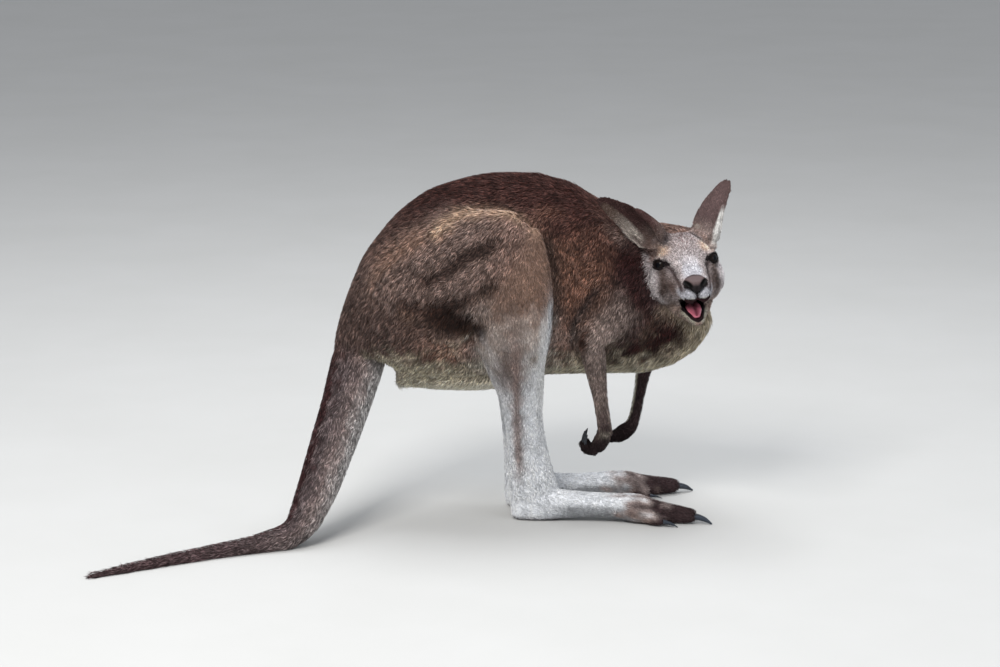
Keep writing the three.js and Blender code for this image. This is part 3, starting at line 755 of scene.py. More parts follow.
def shares_of(points, reach=0.045, softness=0.016):
    """How much each region of the coat has of each place, from the distance to the region's flesh."""
    away = np.full((len(points), len(NAMES)), reach)
    where = [Vector(p) for p in points]
    for k, name in enumerate(NAMES):
        boxes = [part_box(n) for n in REGIONS[name][0]]
        low = np.min([np.array(b[0]) for b in boxes], axis=0) - reach
        high = np.max([np.array(b[1]) for b in boxes], axis=0) + reach
        inside = np.nonzero(((points > low) & (points < high)).all(1))[0]
        co, faces, start = [], [], 0
        for n in REGIONS[name][0]:
            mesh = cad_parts[n].data
            co.append(rows_of(mesh))
            faces.append(triangles_of(mesh) + start)
            start += len(co[-1])
        tree = BVHTree.FromPolygons(np.concatenate(co).tolist(), np.concatenate(faces).tolist())
        for i in inside:
            found = tree.find_nearest(where[i], reach)
            if found[3] is not None:
                away[i, k] = found[3]
    closest = away.min(1, keepdims=True)
    share = np.exp(-((away - closest) / softness) ** 2 - 1.5 * (away - closest) / softness)
    share[away >= reach] = 0
    share[np.arange(len(points)), away.argmin(1)] = 1
    return share / share.sum(1, keepdims=True)


def along_tail(points):
    """How far down the tail each place is, in metres from its root, and the tail's direction there."""
    spans = np.diff(TAIL_LINE, axis=0)
    lengths = np.linalg.norm(spans, axis=1)
    starts = np.concatenate([[0], np.cumsum(lengths)[:-1]])
    best = np.full(len(points), 1e9)
    at = np.zeros(len(points))
    way = np.zeros((len(points), 3))
    for k in range(len(spans)):
        t = np.clip(((points - TAIL_LINE[k]) @ spans[k]) / lengths[k] ** 2, 0, 1)
        off = np.linalg.norm(points - TAIL_LINE[k] - t[:, None] * spans[k], axis=1)
        closer = off < best
        best[closer] = off[closer]
        at[closer] = starts[k] + t[closer] * lengths[k]
        way[closer] = spans[k] / lengths[k]
    return at, way


def lie_of(points, normals, share):
    """The direction along the skin in which the coat lies."""
    way = np.zeros_like(points)
    _, down_tail = along_tail(points)
    local = in_head(points)
    back = np.zeros_like(points)
    back[:, 0] = -1.0
    back[:, 2] = 0.25 - 0.9 * step(-0.02, -0.07, local[:, 2])
    back[:, 1] = 0.35 * np.sign(local[:, 1]) * step(0.0, 0.03, np.abs(local[:, 1]))
    for k, name in enumerate(NAMES):
        if name == "head":
            d = unit(back) @ HEAD.T
        elif name == "tail":
            d = down_tail
        elif name == "trunk":
            down = 1.9 * step(0.92, 0.35, normals[:, 2])
            d = unit(np.stack([np.full(len(points), -1.0), np.zeros(len(points)), -down], 1))
        else:
            d = np.broadcast_to(unit(np.array(REGIONS[name][LIE])), points.shape)
        way += share[:, [k]] * d
    return flattened(way, normals)


def amount_of(share, column):
    """The regions' length, depth or spacing, in metres, blended at each place."""
    values = np.array([REGIONS[name][column] for name in NAMES]) / 1000
    return share @ values


def group(share, *names):
    """The summed share of these regions."""
    return share[:, [NAMES.index(n) for n in names]].sum(1)


class Tones:
    """The colours of the settings, as arrays."""

    def __init__(self):
        for name in ColourSettings.__annotations__:
            setattr(self, name, np.array(getattr(bpy.context.scene.kangaroo_colours, name)))


class Spots:
    """Places on the coat, and what their colours depend on."""

    def __init__(self, points, normals):
        self.points, self.normals = points, normals
        self.x, self.y, self.z = points.T
        self.ahead, _, self.up = normals.T
        self.outward = np.abs(normals[:, 1])
        self.flat = points[:, [0, 2]]
        self.patch = hills(points, 0.06, 3)
        self.fleck = hills(points, 0.022, 4)

    def plain(self, colour):
        """One colour all over."""
        return np.broadcast_to(np.asarray(colour, float), self.points.shape).copy()


def body_tones(s, c):
    """Trunk and neck: dark along the back, browner down the flank, pale beneath, with painted shade in the
    creases behind the upper arm and in front of the haunch.
    """
    under = step(-0.30, -0.85, s.up + 0.10 * s.fleck) * step(0.40, 0.31, s.z)
    throat = step(0.40, 0.49, s.x + 0.02 * s.patch) * step(0.46, 0.35, s.z + 0.02 * s.fleck)
    head_x, head_y, head_z = in_head(s.points).T * 1000
    crown = step(-110, -70, head_x) * step(5, 25, head_z) * step(60, 35, np.abs(head_y))
    arm_crease_shade = near(off_line(s.flat, ARM_CREASE_SHADE), 0, 0.010) * step(0.2, 0.6, s.outward)
    knee_crease_shade = near(off_line(s.flat, KNEE_CREASE_SHADE), 0, 0.013) * step(0.2, 0.6, s.outward)
    return laid(
        s.plain(c.flank),
        (c.back, step(0.10, 0.7, s.up + 0.12 * s.patch) * step(0.42, 0.53, s.z)),
        (c.rump * 0.78, step(0.10, -0.06, s.x) * step(0.95, 0.4, s.up)),
        (c.shoulder, step(0.27, 0.38, s.x + 0.01 * s.patch) * step(0.34, 0.45, s.z + 0.02 * s.patch)),
        (c.flank * 0.42, step(0.25, 0.33, s.x) * step(0.42, 0.36, s.z)),
        (c.shoulder * (0.40, 0.23, 0.28), step(0.31, 0.36, s.x) * step(0.51, 0.46, s.z)),
        (c.belly * (0.92, 0.88, 0.80), under),
        (c.belly * (0.86, 0.78, 0.69), throat),
        (c.rump * (1.25, 1.2, 1.15), 0.85 * crown),
        # Painted shade in the creases behind the upper arm and in front of the haunch.
        (c.toe * 0.3, 0.92 * np.maximum(arm_crease_shade, knee_crease_shade)),
    )


def haunch_tones(s, c):
    """Haunch: grey-brown, with painted shade where its skin is folded, buff hair tips with a painted
    highlight along the rim over the knee, and greyer towards the shank, brightened there by painted bounce
    light.
    """
    low = step(0.45, 0.35, s.z + 0.01 * s.fleck) * step(0.05, 0.14, s.x)
    locks = near(off_line(s.flat, BUFF_LOCKS), 0, 0.020) * step(-0.9, 0.6, s.patch)
    rim = near(off_line(s.flat, KNEE_RIM), 0, 0.008 + 0.002 * s.fleck)
    # Painted shade where the skin of the haunch is folded.
    fold_shades = []
    for line, dark, reach, _ in HAUNCH_FOLDS:
        hollow = near(off_line(s.flat, line), 0, reach * 1.15)
        inside = np.minimum(1.35 * hollow, 1) * step(0.3, 0.7, s.outward)
        fold_shades.append((c.shoulder * (0.62 - 0.40 * dark), dark * inside))
    return laid(
        s.plain(c.rump * (1.42, 1.50, 1.50)),
        (c.rump * (1.65, 1.6, 1.55), step(0.09, 0.18, s.x)),
        # Low at the front the haunch is paler and greyer: its fur there, brightened further as painted
        # bounce light from below.
        (c.rump * (4.8, 6.4, 6.8), 0.80 * low),
        (c.rump * (2.2, 2.05, 1.75), 0.75 * locks),
        *fold_shades,
        # Buff hair tips along the upper edge of the knee, with a painted highlight on its upper faces.
        (c.rim * 1.15, 0.9 * rim * step(-0.35, 0.15, s.up)),
        (c.belly * (0.55, 0.50, 0.42), step(0.1, -0.5, s.up) * step(0.35, 0.27, s.z)),
    )


def leg_tones(s, c, thigh):
    """Shank and foot: silver, a grey-brown streak down the outside, dark toes, painted shade on the shank
    behind the knee and on the foot's sides below its lit top.
    """
    high = step(0.24, 0.36, s.z + 0.012 * s.fleck)
    streak = near(s.x, 0.170 + 0.05 * (0.2 - s.z), 0.010 + 0.003 * s.fleck)
    streak = streak * step(0.05, 0.12, s.z) * step(0.4, 0.8, s.outward)
    front = step(0.35, 0.95, s.ahead)
    shank = laid(
        s.plain(c.silver),
        (thigh, high * step(0.95, 0.45, s.ahead)),
        # Painted shade on the shank behind the knee, under the haunch.
        (c.rump * (1.35, 1.55, 1.6), 0.95 * near(s.z, 0.295, 0.065) * near(s.x, 0.152, 0.036)),
        (c.rump * (2.0, 2.2, 2.3), 0.85 * streak * step(0.40, 0.30, s.z)),
        (c.silver * (0.98, 0.95, 0.90), front * step(0.40, 0.33, s.z) * step(0.15, 0.25, s.z)),
        (c.rump * (1.8, 1.75, 1.55), step(0.355, 0.42, s.z + 0.01 * s.fleck)),
        (c.silver * 0.80, step(0.55, 0.95, s.ahead) * near(s.z, 0.365, 0.045)),
    )
    foot = laid(
        shank,
        # Painted shade on the sides and the underside of the foot, below its lit top.
        (c.silver * 0.42, step(0.4, -0.1, s.up) * step(0.21, 0.27, s.x)),
        (c.rump * (2.6, 2.7, 2.6), 0.8 * step(0.33, 0.39, s.x + 0.020 * s.fleck)),
        (c.toe * 1.2, step(0.36, 0.43, s.x + 0.022 * s.fleck)),
        (c.toe, step(0.008, 0.002, s.z)),
    )
    return shank, foot


def tail_tones(s, c):
    """Tail: grey-brown above, silver beneath, dark towards the tip."""
    down, _ = along_tail(s.points)
    facing = s.normals @ np.array((-0.80, 0.30, 0.52))
    side, under = facing + 0.15 * s.fleck, facing + 0.06 * s.fleck
    return laid(
        s.plain(c.rump * (0.95, 1.12, 1.32)),
        (c.shoulder * (0.60, 0.50, 0.66), step(0.30, 0.85, side)),
        (c.rump * (1.7, 2.0, 2.2), step(0.30, -0.40, under) * step(0.50, 0.30, down)),
        (c.belly * (0.76, 0.80, 0.98), 0.9 * step(-0.15, -0.95, under) * step(0.45, 0.2, down)),
        (c.toe * 1.7, step(0.28, 0.60, down + 0.02 * s.fleck)),
    )


def arm_tones(s, c):
    """Arms: light grey above, darker towards the black-brown hands, of which the right shows its palm; the
    far left forearm is painted dark as shade.
    """
    arm = laid(s.plain(c.rump * (1.85, 2.20, 2.30)),
               (c.shoulder * 0.6, step(-0.2, -0.85, s.ahead) * step(0.29, 0.33, s.z)))
    dark = step(0.23, 0.16, s.z + 0.01 * s.fleck) * step(1.0, 0.3, np.abs(s.ahead))
    hand = s.plain(c.toe * 0.35)
    palm = near(s.z, 0.166, 0.006) * step(0.3, 0.9, -s.normals[:, 1]) * step(0.293, 0.300, s.x)
    return {
        "upper_arm_right": arm,
        "upper_arm_left": arm,
        "forearm_right": mix(arm * 0.76, c.toe * 1.3, dark),
        # The far left forearm is painted dark as shade.
        "forearm_left": mix(s.plain(c.toe * 1.1), c.belly * 1.2, step(-0.6, -0.95, s.ahead)),
        "hand_right": mix(hand, c.belly * 0.40, palm),
        "hand_left": hand,
    }


def ear_tones(s, side):
    """An ear: dark grey-brown outside with a paler root, pale inside behind the rolled front edge."""
    along, across, _, roll, _, half = ear_place(s.points, side).T
    looks = s.normals @ unit(np.array(EARS[side][2]))
    at = along / EAR_LENGTH
    ear = laid(s.plain(EAR_TONES[side]), (s.plain(EAR_ROOT_TONES[side]), step(0.38, 0.05, at)))
    inner = step(0.1, 0.45, looks) * step(0.08, 0.18, at) * step(1.0, 0.9, at)
    if side == "right":
        inner = inner * step(0.003, -0.003, across - roll + 0.006)
        edge = step(0.75, 0.95, -across / half) * step(0.9, 0.6, at)
    else:
        edge = step(-0.0075, -0.0045, -across - outline_at(along)[0]) * step(0.62, 0.45, at)
    pale = mix(s.plain(EAR_INNER_TIP), EAR_INNER_ROOT, step(0.80, 0.25, at))
    return laid(ear, (EAR_EDGE_TONES[side], edge), (pale, inner))


def markings(points, normals, share):
    """The colour of the coat at each place."""
    s, c = Spots(points, normals), Tones()
    body, thigh = body_tones(s, c), haunch_tones(s, c)
    shank, foot = leg_tones(s, c, thigh)
    local = in_head(points)
    # The pale pouch is painted darker high up, as shade under the haunches.
    pouch = mix(s.plain(c.belly * (1.5, 1.5, 1.45)), c.belly * (0.34, 0.33, 0.24), step(0.245, 0.300, s.z))
    parts = {"neck": body, "trunk": body, "head": face_tones(local, c), "pouch": pouch,
             "tail": tail_tones(s, c), **arm_tones(s, c)}
    for side in SIDES:
        parts |= {f"thigh_{side}": thigh, f"shank_{side}": shank, f"foot_{side}": foot,
                  f"ear_{side}": ear_tones(s, side)}
    colour = np.zeros_like(points)
    for k, name in enumerate(NAMES):
        colour += share[:, [k]] * parts[name]
    colour = with_cheek(colour, local * 1000, 1 - group(share, "ear_right"), c)
    return np.clip(colour, 0.004, 1)


def with_cheek(colour, local, held, c):
    """The coat's colour with the edge of the right cheek, pale before the dark of the neck."""
    x, y, z = local.T
    past = (np.abs((z + 15) / 63) ** 3 + np.abs(y / 67) ** 3) ** (1 / 3)
    past = past + 0.03 * hills(local / 1000, 0.012, 8)
    behind = held * step(16, 4, x) * step(-84, -62, z) * step(52, 38, z) * step(-30, -44, y)
    edge = step(0.80, 0.90, past) * step(1.0, 0.95, past) * step(-46, -34, x) * step(22, 8, z)
    dark = 0.92 * behind * step(0.95, 1.01, past) * step(1.75, 1.35, past)
    return laid(colour, (c.face * (1.25, 1.28, 1.30), 0.8 * behind * edge),
                (c.shoulder * (0.42, 0.26, 0.32), dark))


def lip_edge(jaw):
    """How far above the lower edge of the bare lower lip, from places in the jaw's own axes, all in
    millimetres: the lip is deepest in the middle."""
    return jaw[:, 2] + 71.5 - 0.36 * np.abs(jaw[:, 1])


def lower_lip(local):
    """Where the skin is the bare lower lip, from places in the head's own axes."""
    jaw = in_jaw(local) * 1000
    reach = step(34, 44, jaw[:, 0]) * step(25, 22, np.abs(jaw[:, 1]))
    return step(-0.8, 0.8, lip_edge(jaw)) * reach * step(-58, -62, local[:, 2] * 1000)


def with_mouth(colour, mouth, local):
    """The coat's colour with the dark lips, and the inside of the mouth painted near black as shade, darker
    towards the throat.
    """
    # Painted shade inside the mouth, deepest towards the throat.
    inside = np.broadcast_to(MOUTH_LINING_AND_SHADE, colour.shape)
    inside = mix(inside, THROAT_SHADE, step(0.085, 0.05, local[:, 0]))
    return laid(colour, (LIP_TONE, lower_lip(local)), (LIP_TONE, step(0.35, 0.60, mouth)),
                (inside, step(0.90, 0.99, mouth)))


def face_tones(local, c):
    """The colours of the head, from places in its own axes."""
    x, y, z = local.T * 1000
    side = np.abs(y)
    flat, outer = np.stack([x, z], 1), np.stack([side, z], 1)
    fleck, frost = hills(local, 0.012, 8), hills(local, 0.0034, 9)
    jaw = in_jaw(local) * 1000
    # Dark specks on the brow; the nape and the crown behind a thin dark band; the cheeks.
    brow = near(x, 2, 34) * near(side, 0, 24) * step(-12, 4, z)
    specks = 0.85 * step(-0.1, 0.5, frost + 0.2 * fleck) * brow
    nape = step(-40, -60, x) * step(14, 28, side) * step(12, 2, z)
    band = x - (-33 + 19 * (side / 45) ** 2 + 2.0 * fleck)
    cheek = step(24, 36, side) * step(-8, -22, z) * step(-10, 10, x) * 0.8
    # The bridge of the nose, the white lip pads, dimmed to grey as painted shade, and the split of the
    # upper lip.
    bridge = step(22, 9, side + 2.5 * fleck) * step(30, 92, x) * step(-46, -26, z)
    lip = step(78, 96, x + 3 * fleck) * step(-34, -46, z) * step(-74, -66, z)
    split = near(side, 0, 3.0 + 0.12 * np.maximum(z + 66, 0)) * step(97, 103, x) * step(-80, -70, z)
    rim = step(-9, -1, lip_edge(jaw)) * step(40, 60, jaw[:, 0]) * step(26, 22, side)
    rim = rim * step(-56, -62, z)
    # Buff over the eyes; dark from the eye to the side of the nose, and down the cheek below it; painted
    # shade on the sides of the muzzle.
    buff = near(x, 3, 16) * near(side, 40, 12) * near(z, 18, 9)
    tear = near(off_line(flat, TEAR_LINE), 0, 5.6 + 1.2 * fleck) * step(14, 20, side)
    drop = near(off_line(outer, CHEEK_LINE), 0, 6.5 + 1.5 * fleck)
    muzzle_shade = near(x, 62, 28) * near(z, -40, 13) * step(16, 22, side)
    head = laid(
        np.broadcast_to(c.face, local.shape),
        ((0.115, 0.048, 0.045), specks),
        (c.shoulder * (0.8, 0.6, 0.65), nape),
        (c.rump * (1.7, 1.75, 1.75), step(0, -12, band) * step(-20, 0, z)),
        (c.toe, 0.95 * near(band, 4, 8.0) * step(-2, 10, z)),
        (c.face * (0.56, 0.52, 0.50), cheek),
        (c.face * (1.38, 1.42, 1.46), step(46, 56, side + 2 * fleck) * step(8, -6, z)),
        (c.rump * (2.0, 2.3, 2.3), step(-60, -78, z + 3 * fleck)),
        (c.white * 0.88, 0.9 * bridge),
        (c.white * 0.72, lip),
        (c.toe * 0.3, split * step(-44, -50, z)),
        (c.belly * (0.95, 0.98, 1.0), 0.85 * rim * step(3, 8, side)),
        (c.rim * (1.85, 1.95, 2.20), np.clip(2.0 * buff, 0, 1)),
        (c.toe * 0.9, 0.95 * tear),
        (c.rump * 0.50, 0.88 * drop * step(-12, 6, x)),
        (c.rump * 0.9, 0.90 * muzzle_shade),
    )
    # Black round the eye, drawn out to its inner corner; along the patch's flat top the black is painted
    # shadow of the brow.
    for hand in SIDES:
        away, past, _, _ = lid_place(local, hand)
        head = mix(head, c.toe * 0.35, step(14, 7, past + 3 * fleck) * step(1.5, 1.35, away))
    patch = within(flat, EYE_PATCH) + 0.7 * fleck
    return mix(head, c.toe * 0.25, step(-1.0, 0.8, patch) * step(23, 27, side))


# ---------------------------------------------------------------- the skin

def in_mouth(local, looks):
    """Where the skin is the inside of the mouth, from places and normals in the head's own axes."""
    x, y, z = local.T
    side = np.abs(y)
    jaw = in_jaw(local)
    inward = -looks[:, 1] * np.sign(y)
    palate = (z < -0.052) & (side < 0.021) & (x < 0.117) & (looks[:, 2] < -0.45) & (jaw[:, 2] > -0.060)
    floor = (jaw[:, 2] > -0.071) & (side < 0.0175) & (z < -0.058)
    floor &= (looks[:, 2] > 0.35) | (inward > 0.45)
    throat = (x < 0.035) & (side < 0.020) & (z < -0.044) & (z > -0.098) & (looks[:, 0] > 0.0)
    return ((palate | floor | throat) & (x > -0.022)).astype(float)


def build_skin(coat):
    """One closed skin over all the flesh, with the ears, the hands and the face kept fine."""
    thin = [f"{part}_{side}" for part in ("ear", "hand") for side in SIDES]
    leaves = copy_of(thin, "leaves", THIN_SWELL)
    flesh = [name for name in FLESH if name not in thin] + [f"eye_{side}" for side in SIDES]
    skin = copy_of(flesh, "skin", FLESH_SWELL)
    leaves.select_set(True)
    bpy.ops.object.join()
    for x, y, z, radius in EAR_ROOTS:
        place = from_head(np.array((x, y, z)) / 1000)
        bpy.ops.mesh.primitive_ico_sphere_add(subdivisions=4, radius=radius / 1000, location=place)
        skin.select_set(True)
        bpy.context.view_layer.objects.active = skin
        bpy.ops.object.join()
    remesh(skin, coat.voxel)
    weave = Weave(skin.data)
    co = rows_of(skin.data)
    fine = is_fine(co) | is_face(in_head(co), 0.0)
    x, _, z = co.T
    # The haunches run into the rump and the tail, and the chest into the neck, without a step.
    rump = step(0.07, -0.02, x) * step(-0.15, -0.10, x) * step(0.27, 0.33, z)
    soft = np.maximum(rump, step(0.30, 0.36, x) * step(0.47, 0.42, z))
    soft = weave.even(np.where(fine, 0.0, 0.5 * soft), 10)
    co = weave.even(co, EVEN_ALL, np.where(fine, 0.3, 0.5))
    co = weave.even(co, EVEN_BODY, np.where(fine, 0.0, 0.5))
    co = weave.even(co, EVEN_RUNS, soft)
    put_rows(skin.data, co)
    # The body needs fewer faces than the head, the hands and the ears.
    body = skin.vertex_groups.new(name="body")
    body.add([int(i) for i in np.nonzero(~fine)[0]], 1.0, "REPLACE")
    only(skin)
    thinning = skin.modifiers.new("thin", "DECIMATE")
    thinning.ratio = coat.thinned
    thinning.vertex_group = "body"
    bpy.ops.object.modifier_apply(modifier="thin")
    skin.vertex_groups.clear()
    round_off(skin)
    # The face gets a mesh fine enough for lids and lips.
    select_vertices(skin, is_face(in_head(rows_of(skin.data)), FACE_MARGIN))
    bpy.ops.mesh.subdivide(number_cuts=1)
    bpy.ops.object.mode_set(mode="OBJECT")
    weave = Weave(skin.data)
    co = rows_of(skin.data)
    put_rows(skin.data, weave.even(co, EVEN_FACE, 0.4 * is_face(in_head(co), FACE_MARGIN)))
    return skin


def round_off(skin):
    """Rounds the swells of the body and leaves its creases."""
    weave = Weave(skin.data)
    co = rows_of(skin.data)
    # How far each place lies below its neighbours, which is most in the creases.
    hollow = ((weave.mean(co) - co) * normals_of(skin.data)).sum(1)
    hollow = weave.even(np.maximum(hollow, 0), 5)
    kept = is_fine(co) | is_face(in_head(co), 0.0) | (co[:, 2] < 0.014)
    loose = step(0.00035, 0.00010, hollow) * ~kept
    for _ in range(ROUND_SWELLS):
        co = weave.even(co, 1, 0.5 * loose)
        co = weave.even(co, 1, -0.51 * loose)
    # The long swell of the back loses its flats and keeps its size.
    low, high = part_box("trunk")
    crest = step(0.105, 0.070, np.abs(co[:, 1] - (low.y + high.y) / 2))
    crest *= step(0.40, 0.46, co[:, 2] + 0.6 * np.maximum(-co[:, 0] - 0.05, 0))
    broad = 0.5 * loose * crest
    soft = weave.even(co, ROUND_BACK, broad)
    for _ in range(2):
        soft = soft + weave.even(co - soft, ROUND_BACK, broad)
    put_rows(skin.data, soft)


def is_face(local, margin):
    """The places on the front of the head, from places in the head's own axes."""
    x, y, z = local.T
    return ((x > -0.022 + margin) & (x < 0.14) & (np.abs(y) < 0.070 - margin)
            & (z > -0.125 + margin) & (z < 0.052 - margin))


def is_fine(co):
    """The places on the ears and the hands, which keep a fine mesh."""
    fine = np.zeros(len(co), bool)
    for side in SIDES:
        for part in ("ear", "hand"):
            low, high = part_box(f"{part}_{side}")
            fine |= ((co > np.array(low) - 0.003) & (co < np.array(high) + 0.003)).all(1)
    return fine


def sink(skin, share):
    """Sinks the skin by the depth of the coat, and keeps what rests on the floor there."""
    co, looks = rows_of(skin.data), normals_of(skin.data)
    weave = Weave(skin.data)
    normals = unit(weave.even(looks, 3))
    local = in_head(co)
    mouth = weave.even(in_mouth(local, looks @ HEAD), 3)
    carry(skin.data, "mouth", mouth)
    depth = amount_of(share, DEPTH)
    depth = depth * (1 - 0.7 * step(0.03, 0.08, local[:, 0]) * group(share, "head"))
    depth *= 1 - 0.9 * step(0.1, 0.5, mouth)
    depth = weave.even(depth, 6)
    depth += (THIN_SWELL - EAR_KEPT) * group(share, "ear_right", "ear_left")
    depth -= HAND_RAISED * group(share, "hand_right", "hand_left")
    move = -normals * depth[:, None]
    move[:, 2] *= 1 - step(0.010, 0.003, co[:, 2])
    co = co + move
    pouch = near(co[:, 0], POUCH_END, POUCH_REACH) * step(0.285, 0.262, co[:, 2])
    co[:, 2] -= POUCH_DROP * pouch * group(share, "pouch", "trunk")
    outer = group(share, "thigh_right", "thigh_left") * step(0.35, 0.75, np.abs(normals[:, 1]))
    for line, _, reach, deep in HAUNCH_FOLDS:
        away = off_line(co[:, [0, 2]], line)
        co = co - normals * (deep * near(away, 0, reach) * outer)[:, None]
    co = with_ears(co, normals, share, weave)
    co = from_head(sculpted(in_head(co), normals @ HEAD))
    co[:, 2] = np.maximum(co[:, 2], 0)
    put_rows(skin.data, co)


def with_ears(co, normals, share, weave):
    """Places after the right ear's front edge is rolled over and both ears fill their outlines."""
    along, across, _, turned, hollow, _ = ear_place(co, "right").T
    roll = step(0.0, 0.010, across - turned) * step(0.2, 0.6, hollow) * group(share, "ear_right")
    roll *= step(0.0, 0.012, along) * step(0.125, 0.105, along)
    co = co + normals * (EAR_ROLL * roll)[:, None]
    for side in SIDES:
        along, across, *_ = ear_place(co, side).T
        held = group(share, f"ear_{side}")
        on_ear = held > 0.5
        wider = np.full(len(co), EAR_WIDER)
        if side == "left":
            wider = to_outline(along, across, on_ear) * step(0.012, 0.030, along)
        spread = across * (1 + wider * held)
        # The tip is drawn in to a half round.
        over = np.maximum(along - along[on_ear].max() - 0.0003 + EAR_TIP, 0) / EAR_TIP
        tip = on_ear & (over > 0)
        middle = spread[tip].min() / 2 + spread[tip].max() / 2
        spread[tip] = middle + (spread[tip] - middle) * np.sqrt(np.clip(1 - over[tip] ** 2, 0.01, None))
        co = co + (spread - across)[:, None] * ear_across(side)
        longer = EAR_LONGER[side] * step(0.45, 1.0, along / EAR_LENGTH) * held
        co = co + longer[:, None] * unit(np.array(EARS[side][1]))
        co = weave.even(co, 3, 0.5 * step(0.0, 0.3, over) * held)
    return co


def lid_place(local, side):
    """For places in the head's axes: how far from the eye's middle, in eyeball radii, and how many
    degrees outside the opening between the lids."""
    middle, radius = eyeball(side)
    gaze, inner, up = eye_axes(side)
    off = local - in_head(np.array([middle]))[0] + gaze * EYE_SUNK
    away = np.linalg.norm(off, axis=1)
    angle = np.degrees(np.arccos(np.clip(off @ gaze / np.maximum(away, 1e-6), -1, 1)))
    turn = np.arctan2(off @ up, off @ inner)
    return away / radius, angle - opening_at(turn), off, radius


def eye_axes(side):
    """Where the eye looks, the way to its inner corner, and up across it, in the head's axes."""
    gaze = unit(np.array((GAZE[0], GAZE[1] * HANDED[side], GAZE[2])))
    inner = np.array((0.69, -0.70 * HANDED[side], -0.20))
    inner = unit(inner - (inner @ gaze) * gaze)
    up = np.cross(gaze, inner)
    return gaze, inner, up if up[2] > 0 else -up


def opening_at(turn):
    """The half width of the opening between the lids, in degrees, towards each side of it."""
    c, s = np.cos(turn), np.sin(turn)
    wide = np.where(c > 0, OPEN_INNER, OPEN_OUTER)
    tall = np.where(s > 0, OPEN_UP, OPEN_DOWN)
    return 1 / ((np.abs(c) / wide) ** 1.6 + (np.abs(s) / tall) ** 1.6) ** (1 / 1.6)


def with_lids(local):
    """Wraps the skin round the eyeballs, and sinks it where the eyes are open."""
    for side in SIDES:
        away, past, off, radius = lid_place(local, side)
        thick = 1 + (1.7 * step(55, 28, past) - 4.0 * step(28, 60, past)) / 1000 / radius
        wanted = np.where(past < 0.5, np.minimum(away, 1 - 0.0030 / radius), np.maximum(away, thick))
        close = (past < 60) & (away < 1.7)
        local = local + np.where(close, (wanted - away) / np.maximum(away, 0.2), 0)[:, None] * off
    return local


def sculpted(local, looks):
    """Places on the head after the swellings, and with the front of the lower jaw drawn in."""
    x, y, z = local.T * 1000
    side = np.abs(y)
    lift = np.zeros(len(local))
    for (at_x, at_y, at_z), (far_x, far_y, far_z), height in SWELLINGS:
        lift += height * near(x, at_x, far_x) * near(side, at_y, far_y) * near(z, at_z, far_z)
    out = local + looks * (lift / 1000)[:, None]
    out[:, 2] -= 0.0065 * near(x, 106, 15) * near(side, 9, 15) * near(z, -60, 8) * step(-80, -68, z)
    jaw = in_jaw(local) * 1000
    narrow = step(30, 92, jaw[:, 0]) * step(-54, -60, jaw[:, 2]) * step(160, 120, x)
    narrow *= step(75, 55, side) * step(-150, -120, z)
    out[:, 1] *= 1 - 0.34 * narrow
    front = near(side, 0, 11) * step(62, 84, jaw[:, 0]) * step(-82, -70, jaw[:, 2]) * step(-66, -72, z)
    out[:, 2] -= 0.004 * front
    return with_lids(out)


def ear_place(points, side):
    """For each place: how far along the ear it is, across it and out of it, where across the ear
    its front edge rolls over, whether it is on the hollow side, and the ear's half width there."""
    root, way, hollow = (np.array(v) for v in EARS[side])
    way = unit(way)
    hollow = unit(hollow - (hollow @ way) * way)
    across = np.cross(way, hollow)
    off = points - root
    along = off @ way
    share = np.clip(along / EAR_LENGTH, 0, 1)
    half = EAR_WIDTH / 2 * np.sqrt(np.clip(1 - (2 * share - 0.8) ** 2 * 0.7, 0.05, 1))
    roll = half * (-0.62 + 1.05 * share)
    out = off @ hollow
    return np.stack([along, off @ across, out, roll, step(-0.004, 0.002, out), half], 1)


def outline_at(along):
    """How far out the outer and the inner edge of the left ear are, that far along it."""
    at, outer, inner = np.array(EAR_OUTLINE).T / 1000
    return np.interp(along, at, outer), np.interp(along, at, inner)


def to_outline(along, across, held):
    """How much wider each place of the left ear gets, so that the ear fills its outline."""
    stops = np.arange(0.0, 0.132, 0.006)
    slices = [across[held & (np.abs(along - stop) < 0.005)] for stop in stops]
    edges = []
    for sign in (-1, 1):
        reach = [(sign * part).max(initial=0.004) for part in slices]
        edges.append(np.interp(along, stops, reach))
    outer, inner = outline_at(along)
    share = np.where(across < 0, outer / edges[0], inner / edges[1])
    return np.clip(share, 0.6, 1.5) - 1


def ear_across(side):
    """The direction across that ear."""
    _, way, hollow = (np.array(v) for v in EARS[side])
    return unit(np.cross(way, hollow))


class KANGAROO_OT_skin(bpy.types.Operator):
    """Builds the skin over the flesh, with its colours"""

    bl_idname = "kangaroo.skin"
    bl_label = "Skin"

    def execute(self, context):
        skin = build_skin(context.scene.kangaroo_coat)
        weave = Weave(skin.data)
        share = weave.even(shares_of(rows_of(skin.data)), 4)
        sink(skin, share)
        co, normals = rows_of(skin.data), normals_of(skin.data)
        mouth = read(skin.data, "mouth")
        carry(skin.data, "marking", with_mouth(0.8 * markings(co, normals, share), mouth, in_head(co)))
        lie = lie_of(co, normals, share)
        for _ in range(6):
            lie = flattened(weave.even(lie, 5), normals)
        for k, name in enumerate(NAMES):
            carry(skin.data, f"share_{name}", share[:, k])
        for k, axis in enumerate("xyz"):
            carry(skin.data, f"lie_{axis}", lie[:, k])
        finish_piece(skin, skin_material(), "coat_mid", *FLESH)
        return {"FINISHED"}


# ---------------------------------------------------------------- the coat

